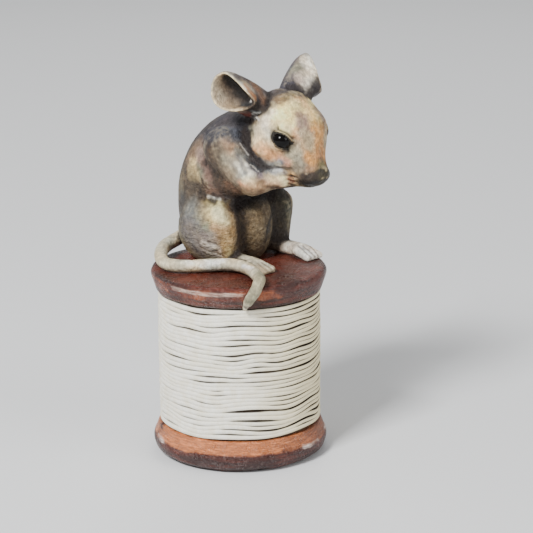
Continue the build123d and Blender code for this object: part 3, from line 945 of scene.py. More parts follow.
def laid_on_skin(pixels):
    """A line of picture points laid on the skin, with points between them laid on it too."""
    dense = []
    for (x0, y0), (x1, y1) in zip(pixels, pixels[1:]):
        parts = max(1, round(math.hypot(x1 - x0, y1 - y0) / 4))
        dense += [(x0 + (x1 - x0) * n / parts, y0 + (y1 - y0) * n / parts) for n in range(parts)]
    dense.append(pixels[-1])
    return np.array([on_surface(skin_tree, x, y) for x, y in dense])


def soft(share):
    """1 at share 0, falling smoothly to 0 at share 1."""
    share = np.clip(share, 0, 1)
    return 1 - share * share * (3 - 2 * share)


def share_between(values, low, high):
    """0 at low and 1 at high, smooth between them."""
    return 1 - soft((values - low) / (high - low))


print("skin to draw on:", len(points), "points")

# %% Creases and ridges
# Each line: its pixels, half its width and its depth in millimetres. A negative depth is a ridge.
creases = {
    "behind the cheek": ([(243, 124), (245, 136), (248, 148), (254, 159), (262, 167)], 2.0, 0.40),
    "bottom of that crease": ([(244, 128), (247, 144), (253, 157)], 0.6, 0.20),
    "edge of the shoulder": ([(239, 141), (244, 149), (249, 156)], 0.40, -0.05),
    "edge of the arm": ([(252, 165), (258, 171)], 0.4, -0.05),
    "before the eye": ([(294, 152), (299, 162), (303, 171)], 1.8, 0.16),
    "below the eye": ([(276, 150), (284, 153), (291, 152)], 0.9, 0.12),
    "between paw and jaw": ([(262, 167), (272, 168), (284, 168), (296, 169)], 0.8, 0.16),
    "between fingers, first": ([(287, 175), (292, 176), (298, 178)], 0.38, 0.34),
    "between fingers, second": ([(287, 179), (292, 181), (298, 182)], 0.38, 0.34),
    "between fingers, third": ([(287, 183), (292, 185), (297, 186)], 0.38, 0.34),
    "haunch top": ([(206, 197), (213, 198), (221, 200)], 0.55, -0.06),
    "haunch, first fold": ([(204, 246), (212, 250), (219, 251)], 0.5, 0.16),
    "haunch, second fold": ([(206, 240), (214, 244), (220, 245)], 0.5, 0.14),
    "haunch, rear fold": ([(202, 252), (210, 256), (215, 257)], 0.5, 0.14),
    "flank fold": ([(200, 176), (203, 184), (208, 190)], 0.7, 0.20),
    "skin fold under the arm": ([(224, 196), (238, 200), (252, 200)], 0.9, 0.18),
    "crown, first": ([(276, 90), (286, 92), (296, 97)], 0.5, 0.10),
    "ear root, first hair": ([(252, 112), (257, 113), (261, 112)], 0.35, -0.22),
    "ear root, second hair": ([(253, 117), (258, 118), (262, 116)], 0.35, -0.22),
}
moves = np.zeros(len(points))
flat_points = folded(points)
for pixels, half_width, depth in creases.values():
    gap, along = reach_to_line(flat_points, folded(laid_on_skin(pixels)))
    taper = np.clip(np.minimum(along, 1 - along) * 5 + 0.25, 0, 1)
    moves -= soft(gap / (half_width * mm)) * depth * mm * taper

# Hand-worked unevenness: soft lumps and the small dabs of a tool
lump_height, dab_height = 0.08 * mm, 0.035 * mm
lumpy = 0.7 * waves_on(points, 260) + 0.6 * waves_on(points, 900)
moves += lumpy * lump_height + waves_on(points, 1250, (7, 2, 4)) * dab_height
points = points + normals * moves[:, None]
print("creases drawn:", len(creases))

# %% Eyelids
# The almond of each eye leans down towards the nose. Skin inside it goes under the bead, and the lids stand
# round it, the upper one with a fine crease above. Shares of the almond, 1 at its edge, place them.
almond_half_length, almond_above, almond_below = 0.99, 0.62, 0.56
almond_forward, almond_drop = 0.06, -0.06
lid_line, lid_breadth, lid_height = 1.12, 0.30, 0.42 * mm
fold_line, fold_breadth, fold_depth = 1.42, 0.16, 0.16 * mm
no_eye = 9.0
eye_gaps = np.full(len(points), no_eye)
eye_ups = np.zeros(len(points))
for side, middle in eye_middles.items():
    sign = -1 if side == "right" else 1
    look = Vector((sign * 0.80, -0.58, 0.14)).normalized()
    long_way = Vector((sign * -0.30, -0.70, -0.50))
    long_way = (long_way - look * long_way.dot(look)).normalized()
    up_way = look.cross(long_way)
    up_way = up_way if up_way.z > 0 else -up_way
    from_eye = points - np.array(middle)
    gap = np.linalg.norm(from_eye, axis=1)
    direction = from_eye / np.maximum(gap, 1e-9)[:, None]
    near = (gap < eye_radius * 1.7) & (direction @ np.array(look) > 0)
    along = direction @ np.array(long_way)
    up = direction @ np.array(up_way)
    half_height = np.where(up > almond_drop, almond_above, almond_below)
    almond = (np.abs(along - almond_forward) / almond_half_length) ** 1.6
    almond = (almond + (np.abs(up - almond_drop) / half_height) ** 2) ** 0.55
    lid = eye_radius + lid_height * soft(np.abs(almond - lid_line) / lid_breadth)
    lid -= fold_depth * soft(np.abs(almond - fold_line) / fold_breadth) * (up > 0.1)
    around = soft((almond - 1.25) / 0.55)
    wanted = gap + (np.maximum(lid, gap * (1 - around) + lid * around) - gap) * around
    openness = soft((almond - 0.93) / 0.14)
    wanted = wanted * (1 - openness) + eye_radius * 0.80 * openness
    points = np.where(near[:, None], np.array(middle) + direction * wanted[:, None], points)
    eye_gaps = np.where(near, almond, eye_gaps)
    eye_ups = np.where(near, up, eye_ups)
set_points(skin.data, points)
print("points moved for the eyes:", int((eye_gaps < no_eye).sum()))

# %% [markdown]
# The paint is laid in coats, as on the real figurine: a ground colour for each part, single strokes of
# colour, small dabs, a dark wash that stays in the hollows, and a pale dry brush that catches the high
# spots. Some strokes are painted shade and some are painted highlights, and in the wide hollows the wash is
# painted shade as well. It could be one painted picture wrapped round the mouse, but strokes can be moved one
# by one. Each has a line in the photograph's pixels, half its width, its colour, its strength and a ragged
# edge.

# %% Paint
corner_pairs = np.empty(len(skin.data.edges) * 2, dtype=int)
skin.data.edges.foreach_get("vertices", corner_pairs)
corner_pairs = corner_pairs.reshape(-1, 2)
neighbours = np.bincount(corner_pairs.ravel(), minlength=len(points)).astype(float)


def relaxed(values, rounds):
    """Values averaged with their neighbours' again and again."""
    for _ in range(rounds):
        total = np.zeros_like(values)
        for axis in range(values.shape[1]):
            total[:, axis] = np.bincount(corner_pairs[:, 0], values[corner_pairs[:, 1], axis], len(values))
            total[:, axis] += np.bincount(corner_pairs[:, 1], values[corner_pairs[:, 0], axis], len(values))
        values = total / neighbours[:, None]
    return values


def hollowness(rounds):
    """How deep each point lies below the skin around it, in millimetres. High spots are below zero."""
    return np.einsum("ij,ij->i", relaxed(points, rounds) - points, normals) / mm


skin_tree = surface_of(skin.data)
normals = normals_of(skin.data)
hollow_fine = hollowness(8)
hollow_wide = hollowness(60)
print("fine hollows, 5, 50 and 95 percent:", np.percentile(hollow_fine, [5, 50, 95]).round(3))
print("wide hollows, 5, 50 and 95 percent:", np.percentile(hollow_wide, [5, 50, 95]).round(3))

# Which part each point belongs to: the nearest one
far_off = 1.0
part_gaps = np.full((len(cast_parts), len(points)), far_off)
for number, name in enumerate(cast_parts):
    for index, point in enumerate(points):
        found = trees[name].find_nearest(point, 4 * mm)
        if found[0] is not None:
            part_gaps[number, index] = found[3]
part_of = part_gaps.argmin(axis=0)
for name, count in zip(cast_parts, np.bincount(part_of, minlength=len(cast_parts))):
    print("points on", name + ":", count)

# %% Ground colours and brushes
ground = {
    "torso": (84, 76, 68), "head": (190, 166, 128), "ear_right": (116, 102, 96),
    "ear_left": (116, 108, 110), "foreleg_right": (142, 128, 110), "foreleg_left": (142, 128, 110),
    "haunch_right": (130, 122, 106), "haunch_left": (130, 122, 106), "hind_foot_right": (190, 182, 164),
    "hind_foot_left": (226, 222, 216), "tail": (196, 190, 172),
}
paint = np.array([colour(*ground[name]) for name in cast_parts])[part_of]
paint = relaxed(paint, 6)

# Ragged edges: strokes are laid on points that are shifted a little, the same way in each run
noise.seed_set(5)
brush_noise = np.array([noise.noise_vector(Vector(point) * 520) for point in points]) * 0.75
brush_noise += np.array([noise.noise_vector(Vector(point) * 1500) for point in points]) * 0.35
ragged = points + brush_noise * mm
brush_noise[points[:, 0] > middle_x, 0] *= -1
ragged_flat = folded(points) + brush_noise * mm
fine_stroke = 0.7
fine_stroke_steadiness = 0.8
stroke_reach = 1.45
stroke_full_share = 0.22


def brush(share, card):
    """Lays a colour over the paint."""
    global paint
    paint = paint + (np.array(colour(*card)) - paint) * np.clip(share, 0, 1)[:, None]


def only_on(*names, rounds=2):
    """1 on these cast parts and 0 elsewhere, softened between them."""
    wanted = [cast_parts.index(name) for name in names]
    return relaxed(np.isin(part_of, wanted).astype(float)[:, None], rounds)[:, 0]


def paint_strokes(strokes, places, where=1.0, line_of=lambda line: line):
    """Each stroke: its pixels (one is a dot), half its width in millimetres, its colour, its strength."""
    steadier = places - brush_noise * mm * fine_stroke_steadiness
    for pixels, radius, card, strength in strokes.values():
        line = line_of(laid_on_skin(pixels if len(pixels) > 1 else pixels * 2))
        gap = reach_to_line(places if radius >= fine_stroke else steadier, line)[0]
        brush(soft(gap / (radius * stroke_reach * mm) - stroke_full_share) * strength * where, card)
    print("strokes of paint:", len(strokes))


# %% Strokes on the body
# A broad brush first lays painted shade: dark brown where the haunches face the middle, brown on the belly
# below the arms, black on the underside of the muzzle
height_mm = points[:, 2] / mm
from_middle = np.sign(points[:, 0] - middle_x)
faces_middle = -normals[:, 0] * from_middle
below_arms = share_between(-height_mm, -75, -71)
inner_haunch_shade = share_between(faces_middle, 0.15, 0.55) * only_on("haunch_right", "haunch_left")
belly = share_between(-normals[:, 1], -0.1, 0.4) * only_on("torso")
muzzle = share_between(-points[:, 1], 16.5 * mm, 18.5 * mm) * only_on("head")
brush(inner_haunch_shade * below_arms * 0.95, (58, 50, 42))
brush(belly * below_arms * 0.9, (84, 73, 60))
brush(muzzle * share_between(-normals[:, 2], 0.05, 0.55) * 0.95, (22, 18, 18))

body_strokes = {
    "slate nape": ([(222, 120), (232, 122), (238, 128)], 3.6, (66, 64, 74), 0.85),
    "slate shoulder": ([(204, 136), (214, 130), (226, 132)], 3.0, (84, 86, 98), 0.7),
    "shoulder, blue": ([(216, 136), (224, 130), (231, 134)], 1.6, (112, 120, 128), 0.55),
    "dark spine": ([(208, 126), (198, 138)], 2.2, (66, 62, 66), 0.7),
    # Painted shade: dark brown behind the arm
    "dark behind the arm": ([(212, 146), (210, 160), (213, 176), (220, 189)], 3.0, (66, 54, 46), 0.9),
    "tan back": ([(197, 148), (192, 158)], 2.6, (160, 134, 112), 0.7),
    "rosy back": ([(200, 154), (198, 162)], 1.6, (186, 164, 156), 0.6),
    "cream spot on the back": ([(193, 164), (192, 174), (197, 176)], 1.5, (232, 208, 160), 0.85),
    "green-grey back": ([(200, 166), (201, 174)], 1.3, (140, 146, 130), 0.6),
    "rosy stripe": ([(205, 162), (207, 172), (208, 182)], 1.5, (146, 122, 114), 0.7),
    "dark scratch": ([(202, 179), (205, 184)], 0.5, (48, 38, 34), 0.8),
    "grey-brown flank": ([(184, 184), (194, 192), (204, 196)], 3.8, (84, 74, 64), 0.85),
    "rear edge, olive": ([(181, 178), (180, 190)], 1.8, (136, 126, 104), 0.6),
    "dark lower back": ([(181, 200), (182, 216), (185, 230)], 2.4, (78, 76, 76), 0.7),
    "waist, rosy brown": ([(212, 190), (220, 193)], 1.8, (128, 102, 92), 0.6),
    # Painted shade: dark brown at the waist under the chest, and under the arm
    "brown waist": ([(226, 194), (238, 197), (252, 198), (262, 194)], 1.6, (50, 38, 32), 0.9),
    "under the arm, dark": ([(224, 186), (232, 192)], 1.8, (74, 58, 48), 0.75),
    "upper arm, pale": ([(229, 150), (232, 160), (240, 170)], 3.2, (178, 170, 156), 0.8),
    "upper arm, cream": ([(224, 154), (226, 164), (232, 172)], 2.0, (178, 166, 142), 0.7),
    "upper arm, rosy": ([(225, 142), (229, 147)], 1.5, (190, 156, 134), 0.7),
    # A painted highlight: white on the upper arm
    "upper arm, white": ([(240, 165), (244, 172), (250, 178)], 1.6, (244, 238, 222), 0.9),
    "upper arm, blue-grey": ([(239, 153), (243, 157)], 1.3, (104, 112, 116), 0.75),
    "upper arm, lower grey": ([(228, 176), (234, 182)], 2.0, (128, 116, 104), 0.7),
    "slate over the shoulder": ([(210, 134), (222, 131), (234, 135)], 2.9, (72, 74, 84), 0.92),
    "shoulder, tan": ([(225, 143), (230, 147)], 1.2, (166, 142, 120), 0.7),
    # Painted shade along the arm's rear edge
    "arm, rear edge": ([(217, 150), (216, 164), (221, 178)], 1.9, (88, 74, 62), 0.85),
    "arm, first dark line": ([(237, 156), (242, 164), (245, 173)], 0.5, (96, 96, 100), 0.7),
    "arm, second dark line": ([(246, 159), (251, 167), (256, 173)], 0.45, (84, 86, 92), 0.75),
    "arm, third dark line": ([(230, 160), (234, 168), (240, 176)], 0.5, (112, 104, 96), 0.6),
    "arm, white fleck": ([(246, 164), (250, 170), (254, 174)], 0.4, (255, 252, 244), 0.85),
    "arm, grey patch": ([(252, 168), (258, 174)], 1.0, (96, 96, 104), 0.7),
    "elbow, orange": ([(243, 184), (248, 185)], 1.3, (206, 148, 114), 0.85),
    "elbow, cream": ([(246, 180), (252, 182)], 1.0, (244, 230, 196), 0.8),
    "elbow, tan": ([(252, 187), (260, 190)], 1.6, (186, 152, 122), 0.75),
    # Painted shade along the underside of the elbow
    "elbow, brown": ([(228, 184), (236, 189), (246, 192), (257, 194)], 1.3, (108, 82, 66), 0.85),
    "forearm, brown": ([(260, 180), (265, 183)], 1.3, (140, 112, 86), 0.75),
    "forearm, violet": ([(260, 174), (266, 175)], 1.1, (156, 144, 154), 0.7),
    "paw, rosy": ([(270, 179), (279, 181)], 1.5, (226, 190, 166), 0.8),
    "paw, cream": ([(270, 175), (280, 176), (286, 180)], 1.5, (246, 230, 196), 0.9),
    "paw, bright": ([(283, 178), (286, 184)], 1.0, (252, 238, 190), 0.85),
    "paw, white edge": ([(268, 170.5), (276, 171), (284, 171)], 0.7, (226, 230, 236), 0.85),
    "paw, shadow below": ([(268, 186), (278, 188), (288, 189)], 0.8, (70, 50, 40), 0.8),
    "fingers": ([(290, 174), (295, 178), (296, 184)], 1.4, (208, 172, 130), 0.8),
    "finger gaps": ([(289, 178.5), (293, 181), (290, 183)], 0.55, (136, 58, 34), 0.85),
    "finger gap above": ([(291, 175), (294, 176)], 0.45, (80, 44, 30), 0.85),
    # A painted highlight: a white stroke along the top of the haunch
    "haunch top, white": ([(208, 196.5), (214, 198), (220, 199.5)], 0.38, (252, 252, 248), 0.85),
    "haunch top, olive": ([(205, 203), (216, 203), (227, 205)], 1.1, (112, 104, 76), 0.9),
    "haunch, grey shoulder": ([(190, 208), (196, 216), (196, 226)], 2.6, (132, 132, 128), 0.8),
    "haunch, pale": ([(203, 214), (206, 221)], 2.0, (172, 160, 132), 0.65),
    # A painted highlight: the cream oval where the round of the haunch catches the light
    "haunch, oval": ([(213, 210), (215, 216), (221, 219)], 2.3, (240, 224, 176), 0.95),
    "haunch, oval middle": ([(215, 212), (217, 216), (221, 217)], 1.3, (255, 244, 200), 0.9),
    "haunch, green-grey": ([(208, 228), (211, 233)], 1.3, (146, 156, 138), 0.75),
    "haunch, rosy": ([(215, 228), (223, 231)], 1.4, (208, 180, 150), 0.8),
    "haunch, rear lavender": ([(188, 228), (194, 238), (200, 246)], 3.0, (122, 118, 120), 0.8),
    "haunch, lower grey": ([(206, 236), (214, 238)], 1.6, (138, 128, 128), 0.7),
    "haunch, first light fold": ([(203, 243), (211, 247), (218, 248)], 0.75, (222, 216, 212), 0.85),
    "haunch, second light fold": ([(206, 250), (212, 253), (219, 255)], 0.75, (218, 212, 206), 0.85),
    "haunch, dark fold": ([(202, 247), (210, 251), (217, 252)], 0.45, (92, 84, 84), 0.8),
    "haunch, rear dark fold": ([(188, 244), (196, 250), (204, 256)], 0.9, (104, 98, 98), 0.6),
    "shin, orange": ([(231, 208), (233, 221), (233, 236)], 1.3, (146, 116, 80), 0.9),
    "shin, tan": ([(224, 236), (227, 246), (229, 254)], 2.2, (176, 146, 106), 0.8),
    "shin, olive": ([(228, 250), (230, 257)], 1.3, (150, 138, 104), 0.6),
    # Painted shade: the inner side of the shin, and the left edge of the belly
    "inner shin, dark": ([(237, 212), (239, 228), (239, 244), (238, 255)], 1.4, (46, 32, 20), 0.9),
    "belly, left": ([(241, 208), (242, 226), (242, 246)], 0.8, (60, 48, 36), 0.75),
    "belly, brown": ([(253, 205), (256, 222), (253, 240)], 3.4, (104, 92, 74), 0.85),
    "belly, light fleck": ([(254, 212), (260, 222), (251, 236)], 1.2, (122, 110, 90), 0.5),
    "chest in shadow": ([(262, 194), (272, 192), (282, 193)], 2.4, (22, 15, 13), 0.95),
}
paint_strokes(body_strokes, ragged_flat, line_of=folded)

# %% Strokes on the head
head_strokes = {
    "crown, orange": ([(294, 95), (300, 98), (305, 103)], 1.6, (210, 158, 112), 0.85),
    "forehead, tan": ([(300, 102), (307, 108), (313, 116)], 1.8, (206, 174, 134), 0.75),
    "forehead, cream": ([(282, 109), (292, 109), (302, 113)], 2.6, (232, 210, 158), 0.9),
    "forehead, bright": ([(276, 114), (286, 115), (297, 116)], 2.4, (255, 240, 178), 0.92),
    "crown, dark": ([(264, 95), (272, 93), (281, 92), (290, 91)], 3.0, (42, 38, 42), 0.96),
    "crown, brown": ([(268, 102), (277, 101), (285, 98)], 1.3, (84, 70, 58), 0.75),
    "crown, olive": ([(286, 96), (293, 94)], 1.2, (122, 110, 82), 0.8),
    "behind the ear root, white": ([(269, 105), (269, 110), (272, 112)], 1.1, (240, 238, 222), 0.9),
    "ear root hairs, light": ([(271, 104), (275, 106)], 0.6, (196, 190, 160), 0.8),
    "temple, grey": ([(263, 116), (260, 124), (256, 132)], 2.0, (162, 156, 142), 0.75),
    "temple, white": ([(267, 120), (266, 128), (268, 136)], 1.8, (222, 218, 208), 0.85),
    "temple, dark line": ([(272, 122), (272, 130)], 0.6, (150, 138, 118), 0.6),
    "brow, cream": ([(278, 122), (286, 127), (292, 131), (296, 135)], 1.9, (252, 238, 184), 0.9),
    "brow, lavender": ([(301, 121), (306, 123)], 1.3, (190, 176, 174), 0.8),
    "brow, peach": ([(298, 128), (306, 130)], 1.4, (226, 190, 146), 0.7),
    "bridge, ochre": ([(312, 116), (314, 124), (314, 132)], 1.4, (196, 166, 108), 0.75),
    "bridge, cream": ([(308, 112), (311, 118)], 0.9, (226, 206, 164), 0.6),
    "far brow, brown-grey": ([(318, 110), (324, 118), (326, 126)], 1.6, (126, 108, 102), 0.9),
    # Painted shade on the snout's right edge, where it turns away
    "snout, right edge": ([(324, 130), (323, 142), (322, 154), (321, 162)], 1.2, (112, 82, 78), 0.9),
    "snout, olive": ([(318, 134), (318, 144)], 1.2, (168, 142, 92), 0.7),
    "snout, orange": ([(297, 138), (299, 148), (304, 156), (310, 162)], 2.2, (184, 146, 108), 0.8),
    "snout, tan": ([(309, 144), (312, 152)], 1.9, (196, 154, 112), 0.75),
    "brow, orange": ([(296, 134), (303, 138)], 1.3, (204, 150, 112), 0.7),
    "bridge, grey-green": ([(307, 139), (312, 146)], 1.4, (150, 148, 126), 0.7),
    "bridge, tan": ([(316, 128), (318, 141)], 1.4, (196, 152, 106), 0.75),
    "snout, grey patch": ([(304, 134), (308, 138), (307, 143)], 1.5, (164, 156, 138), 0.8),
    "snout, red line": ([(297, 136), (297, 146)], 0.5, (190, 120, 86), 0.6),
    "snout, bright orange": ([(306, 158), (312, 163), (316, 164)], 1.1, (196, 142, 88), 0.8),
    "snout, orange right": ([(318, 146), (318, 156)], 1.0, (180, 132, 92), 0.7),
    # Painted shade: grey in the fold before the eye
    "grey before the eye": ([(294, 150), (297, 158), (300, 167)], 1.9, (152, 152, 140), 0.9),
    "grey below the eye": ([(282, 151), (289, 152)], 1.3, (150, 144, 128), 0.8),
    "cheek, olive edge": ([(251, 128), (251, 138), (252, 150)], 1.5, (118, 112, 98), 0.85),
    "cheek, cream": ([(258, 138), (262, 144), (268, 146)], 2.5, (238, 220, 186), 0.9),
    "cheek, light": ([(258, 132), (264, 136)], 1.6, (220, 208, 186), 0.7),
    "cheek, peach": ([(262, 148), (270, 150)], 1.6, (222, 186, 150), 0.8),
    "cheek, orange": ([(257, 151), (264, 154), (272, 157), (278, 155)], 1.7, (200, 152, 114), 0.85),
    "cheek, olive corner": ([(254, 155), (258, 160)], 1.0, (146, 112, 66), 0.8),
    "cheek, pink": ([(281, 161), (286, 163)], 1.2, (206, 158, 138), 0.85),
    # Painted shade under the jaw: a blue-grey band and a dark line
    "jaw, blue-grey": ([(262, 163), (270, 165), (277, 164)], 1.2, (120, 132, 140), 0.85),
    "jaw, lower line": ([(264, 168), (274, 167), (284, 167), (295, 168)], 0.8, (96, 98, 102), 0.6),
    "shadow behind the cheek": (
        [(242, 122), (243, 134), (246, 145), (251, 155), (258, 165)], 1.5, (56, 56, 62), 0.92,
    ),
    "violet beside it": ([(247, 132), (248, 146)], 0.9, (92, 94, 98), 0.7),
    "shadow under the cheek": ([(256, 162), (261, 167), (267, 170)], 1.2, (52, 60, 68), 0.9),
    "scratch, first": ([(240, 143), (244, 149), (248, 155)], 0.12, (226, 224, 220), 0.55),
    "scratch, second": ([(251, 164.5), (255, 168), (258.5, 171.5)], 0.12, (230, 228, 226), 0.6),
    "whisker pad, grey": ([(300, 168), (306, 171)], 1.4, (132, 128, 120), 0.85),
    "whisker pad, brown": ([(309, 170), (316, 169)], 1.3, (132, 106, 84), 0.85),
    "whisker pad, low": ([(299, 177), (304, 178)], 1.1, (92, 84, 80), 0.85),
    # Painted shade under the muzzle: black below it and a dark fleck
    "muzzle, black below": ([(302, 183), (309, 183), (316, 179.5), (323, 176.5)], 1.5, (20, 17, 17), 0.95),
    "muzzle, dark fleck": ([(304, 177), (310, 176), (317, 174)], 1.0, (38, 32, 30), 0.9),
    "nose, olive": ([(323, 165), (327, 168), (328, 172)], 1.3, (102, 94, 68), 0.92),
    # Painted shade: a dark line under the nose, and the lips
    "nose, dark": ([(320, 172), (325, 174), (327, 175)], 0.9, (34, 30, 26), 0.9),
    "lips": ([(292, 187), (298, 187)], 1.0, (30, 22, 20), 0.9),
    # Painted shade at the ear root, black
    "ear root, black": (
        [(259, 101), (256, 106), (252, 111), (256, 116), (248, 120)], 1.5, (24, 22, 24), 0.95,
    ),
    # Painted shade at the ear root, dark brown
    "ear root, brown": ([(263, 98), (264, 106)], 1.3, (66, 48, 40), 0.9),
    "ear root, first hair": ([(252, 111), (256, 113), (260, 112)], 0.30, (168, 172, 176), 0.9),
    "ear root, second hair": ([(253, 114), (257, 117), (259, 120)], 0.30, (196, 198, 200), 0.9),
    "ear root, third hair": ([(251, 117), (255, 119)], 0.28, (150, 154, 158), 0.8),
    # Painted shade below the ear
    "below the ear": ([(246, 118), (242, 122), (244, 128)], 1.4, (34, 32, 38), 0.9),
}
paint_strokes(head_strokes, ragged_flat, line_of=folded)

# %% Strokes on the far side only
on_left = (points[:, 0] > middle_x).astype(float)
# The far haunch and the belly's far edge lie in shade: these strokes are painted shade, with a lighter grey
# along the haunch's edge
far_haunch_strokes = {
    "belly's far edge": ([(276, 197), (272, 214), (265, 238)], 0.9, (30, 24, 20), 0.9),
    "far haunch, black": ([(278, 198), (284, 206), (286, 218), (281, 230)], 3.4, (64, 59, 50), 0.95),
    "far haunch, its edge": ([(287, 202), (290, 212), (289, 226)], 1.0, (104, 102, 86), 0.6),
    "far haunch, its foot": ([(276, 238), (281, 234)], 1.6, (60, 56, 54), 0.8),
}
paint_strokes(far_haunch_strokes, ragged, only_on("haunch_left", "torso") * on_left)

# %% [markdown]
# The ears are painted apart from the head, because a stroke on a thin wall would come through on its other
# side. The hollow's search tree tells which points lie inside, and those get their own strokes. The pale edge
# follows the rim. Tail and toes come next. Dabs, the dark wash and the dry brush then go over everything, as
# they do on the real figurine; the wash also lays painted shade in the wide hollows. The glint, a painted
# highlight, and the lids are drawn last.

# %% Ears
ear_points = points.copy()
ear_points[points[:, 0] > middle_x] -= np.array(far_shift)
ear_points = folded(ear_points) + brush_noise * mm
ear_mask = only_on("ear_right", "ear_left", "head")
lip = 0.80 * mm
outer_wall_setback = 0.55 * mm
hollow_skin = 0.42 * mm
near_rim_low = np.array(on_plane(252, 107, near_rim_middle, near_opening))
inside = np.zeros(len(points))
edge_gap = np.full(len(points), far_off)
for rim, hollow, opening in ((near_rim, near_hollow, near_opening), (far_rim, far_hollow, far_opening)):
    gap = reach_to_line(points, np.array(rim + rim[:1]))[0]
    outward = points - np.mean(rim, axis=0)
    outward -= np.outer(outward @ np.array(opening), opening)
    faces_out = np.einsum("ij,ij->i", normals, outward) / np.linalg.norm(outward, axis=1)
    edge_gap = np.minimum(edge_gap, gap + outer_wall_setback * share_between(faces_out, 0.2, 0.7))
    for index in np.flatnonzero(gap < 8 * mm):
        found = hollow.find_nearest(Vector(points[index]), 1 * mm)
        if found[0] is not None:
            inside[index] = found[3] < hollow_skin
inside = relaxed(inside[:, None], 2)[:, 0]
far_ear_strokes = {
    "back, grey": ([(284, 82), (290, 72), (297, 62)], 2.5, (88, 84, 88), 0.92),
    "back, violet": ([(279, 88), (284, 84), (291, 85)], 1.7, (70, 66, 74), 0.88),
    "back, olive": ([(294, 70), (299, 66), (302, 72)], 1.4, (142, 140, 122), 0.7),
    # Painted highlights: the bright front of the far ear, rosy and cream
    "front, rosy": ([(301, 78), (304, 86)], 1.7, (196, 184, 176), 0.85),
    "front, cream": ([(309, 60), (313, 68), (314, 77)], 2.0, (252, 250, 240), 0.95),
    "front, lower cream": ([(304, 74), (308, 82), (306, 88)], 1.2, (226, 218, 204), 0.85),
    "crease": ([(288, 86), (296, 87), (302, 92), (306, 97)], 0.75, (46, 40, 40), 0.9),
    # Painted shade on the far ear's lower front
    "dark front": ([(319, 80), (316, 88), (311, 96)], 1.7, (40, 34, 34), 0.95),
    "dark hairs": ([(297, 84), (302, 88)], 0.5, (70, 64, 60), 0.7),
}
near_ear_strokes = {
    "outer wall, violet": ([(236, 75), (245, 77), (253, 83), (259, 90)], 2.6, (66, 58, 62), 0.94),
    "outer wall, olive": ([(243, 81), (248, 85)], 0.7, (134, 116, 88), 0.7),
    "outer wall, orange": ([(246, 86), (250, 91), (254, 97)], 0.75, (188, 140, 104), 0.8),
    "outer wall, red": ([(252, 96), (255, 99)], 0.5, (150, 96, 76), 0.7),
    "outer wall, brown": ([(256, 86), (260, 93), (263, 99)], 1.3, (110, 84, 68), 0.85),
    "underside": ([(228, 112.5), (238, 114), (248, 115)], 1.0, (92, 46, 38), 0.9),
}
hollow_strokes = {
    "left, light": ([(214, 82), (214, 92), (218, 100)], 1.7, (206, 190, 168), 0.9),
    "bottom, light": ([(222, 104), (232, 106), (240, 107)], 1.3, (190, 172, 148), 0.85),
    # Painted shade deep in the hollow: dark in the middle, black at the upper right
    "middle, dark": ([(227, 82), (232, 92), (241, 100)], 1.9, (84, 72, 64), 0.85),
    "upper right, black": (
        [(228, 77), (235, 84), (241, 91), (247, 98), (252, 104)], 1.9, (14, 11, 11), 0.97,
    ),
    "bottom, blue-grey": ([(244, 105), (250, 106)], 0.9, (66, 68, 70), 0.7),
}
outside = ear_mask * (1 - inside)
paint_strokes(far_ear_strokes, ear_points, outside, lambda line: folded(line - np.array(far_shift)))
paint_strokes(near_ear_strokes, ear_points, outside * (1 - on_left), folded)
brush(inside * ear_mask * 0.95, (160, 144, 126))
paint_strokes(hollow_strokes, ear_points, ear_mask * inside, folded)
root_end = soft((np.linalg.norm(ear_points - near_rim_low, axis=1) - 2.2 * mm) / (2.2 * mm))
on_lip = soft(edge_gap / lip - 0.20) * ear_mask
brush(on_lip * (1 - root_end) * 0.95, (244, 232, 200))
brush(on_lip * root_end * 0.8, (74, 60, 50))

# %% Tail and toes
# The tail is paler on top, a painted highlight, and grey towards its tip, and its underside, where it meets
# the wood, is darkened grey as painted shade
tail_share = only_on("tail")
under = share_between(-normals[:, 2], -0.1, 0.7)
brush(tail_share * under * 0.8, (112, 104, 98))
tail_strokes = {
    # A painted highlight along the top of the tail and on its bend
    "tail, bright top": (
        [(190, 263), (204, 264), (218, 261), (232, 257), (246, 257), (256, 261)], 1.0, (254, 252, 244), 0.9,
    ),
    "tail, bright bend": ([(243, 266), (252, 268)], 0.5, (240, 244, 250), 0.8),
    "tail, grey tip": ([(263, 274), (260, 284), (254, 292), (250, 300)], 2.0, (134, 132, 112), 0.85),
    "tail, tip in shadow": ([(252, 290), (248, 300)], 1.0, (92, 92, 80), 0.7),
}
paint_strokes(tail_strokes, ragged, tail_share)
toe_lines = {
    "near toes, first": [(262, 263), (268, 267), (272, 270)],
    "near toes, second": [(258, 264), (265, 270), (270, 273)],
    "near toes, third": [(262, 259), (268, 263), (274, 268)],
    "far toes, first": [(298, 246), (305, 252), (311, 258)],
    "far toes, second": [(303, 246), (310, 252), (315, 257)],
    "far toes, third": [(308, 244), (314, 250), (318, 256)],
}
toe_line_reach = 0.45 * mm
for pixels in toe_lines.values():
    gap = reach_to_line(points, laid_on_skin(pixels))[0]
    brush(soft(gap / toe_line_reach) * 0.75 * only_on("hind_foot_right", "hind_foot_left"), (96, 74, 58))

# %% Dabs, wash, painted shade and dry brush
# The brush left lighter and darker, warmer and cooler dabs all over
dab = waves_on(points, 1100) + 0.6 * waves_on(points, 500)
warm = waves_on(points, 230, (5, 1, 3))
grey = paint.mean(axis=1)[:, None]
paint = grey + (paint - grey) * 1.18
gain = 0.80 + 0.14 * only_on("ear_right", "ear_left")
gain += 0.28 * only_on("head", "tail", "hind_foot_right", "hind_foot_left")
paint = paint * gain[:, None] * (1 + 0.45 * dab[:, None]) * (1 + np.outer(warm, (0.20, 0.04, -0.14)))

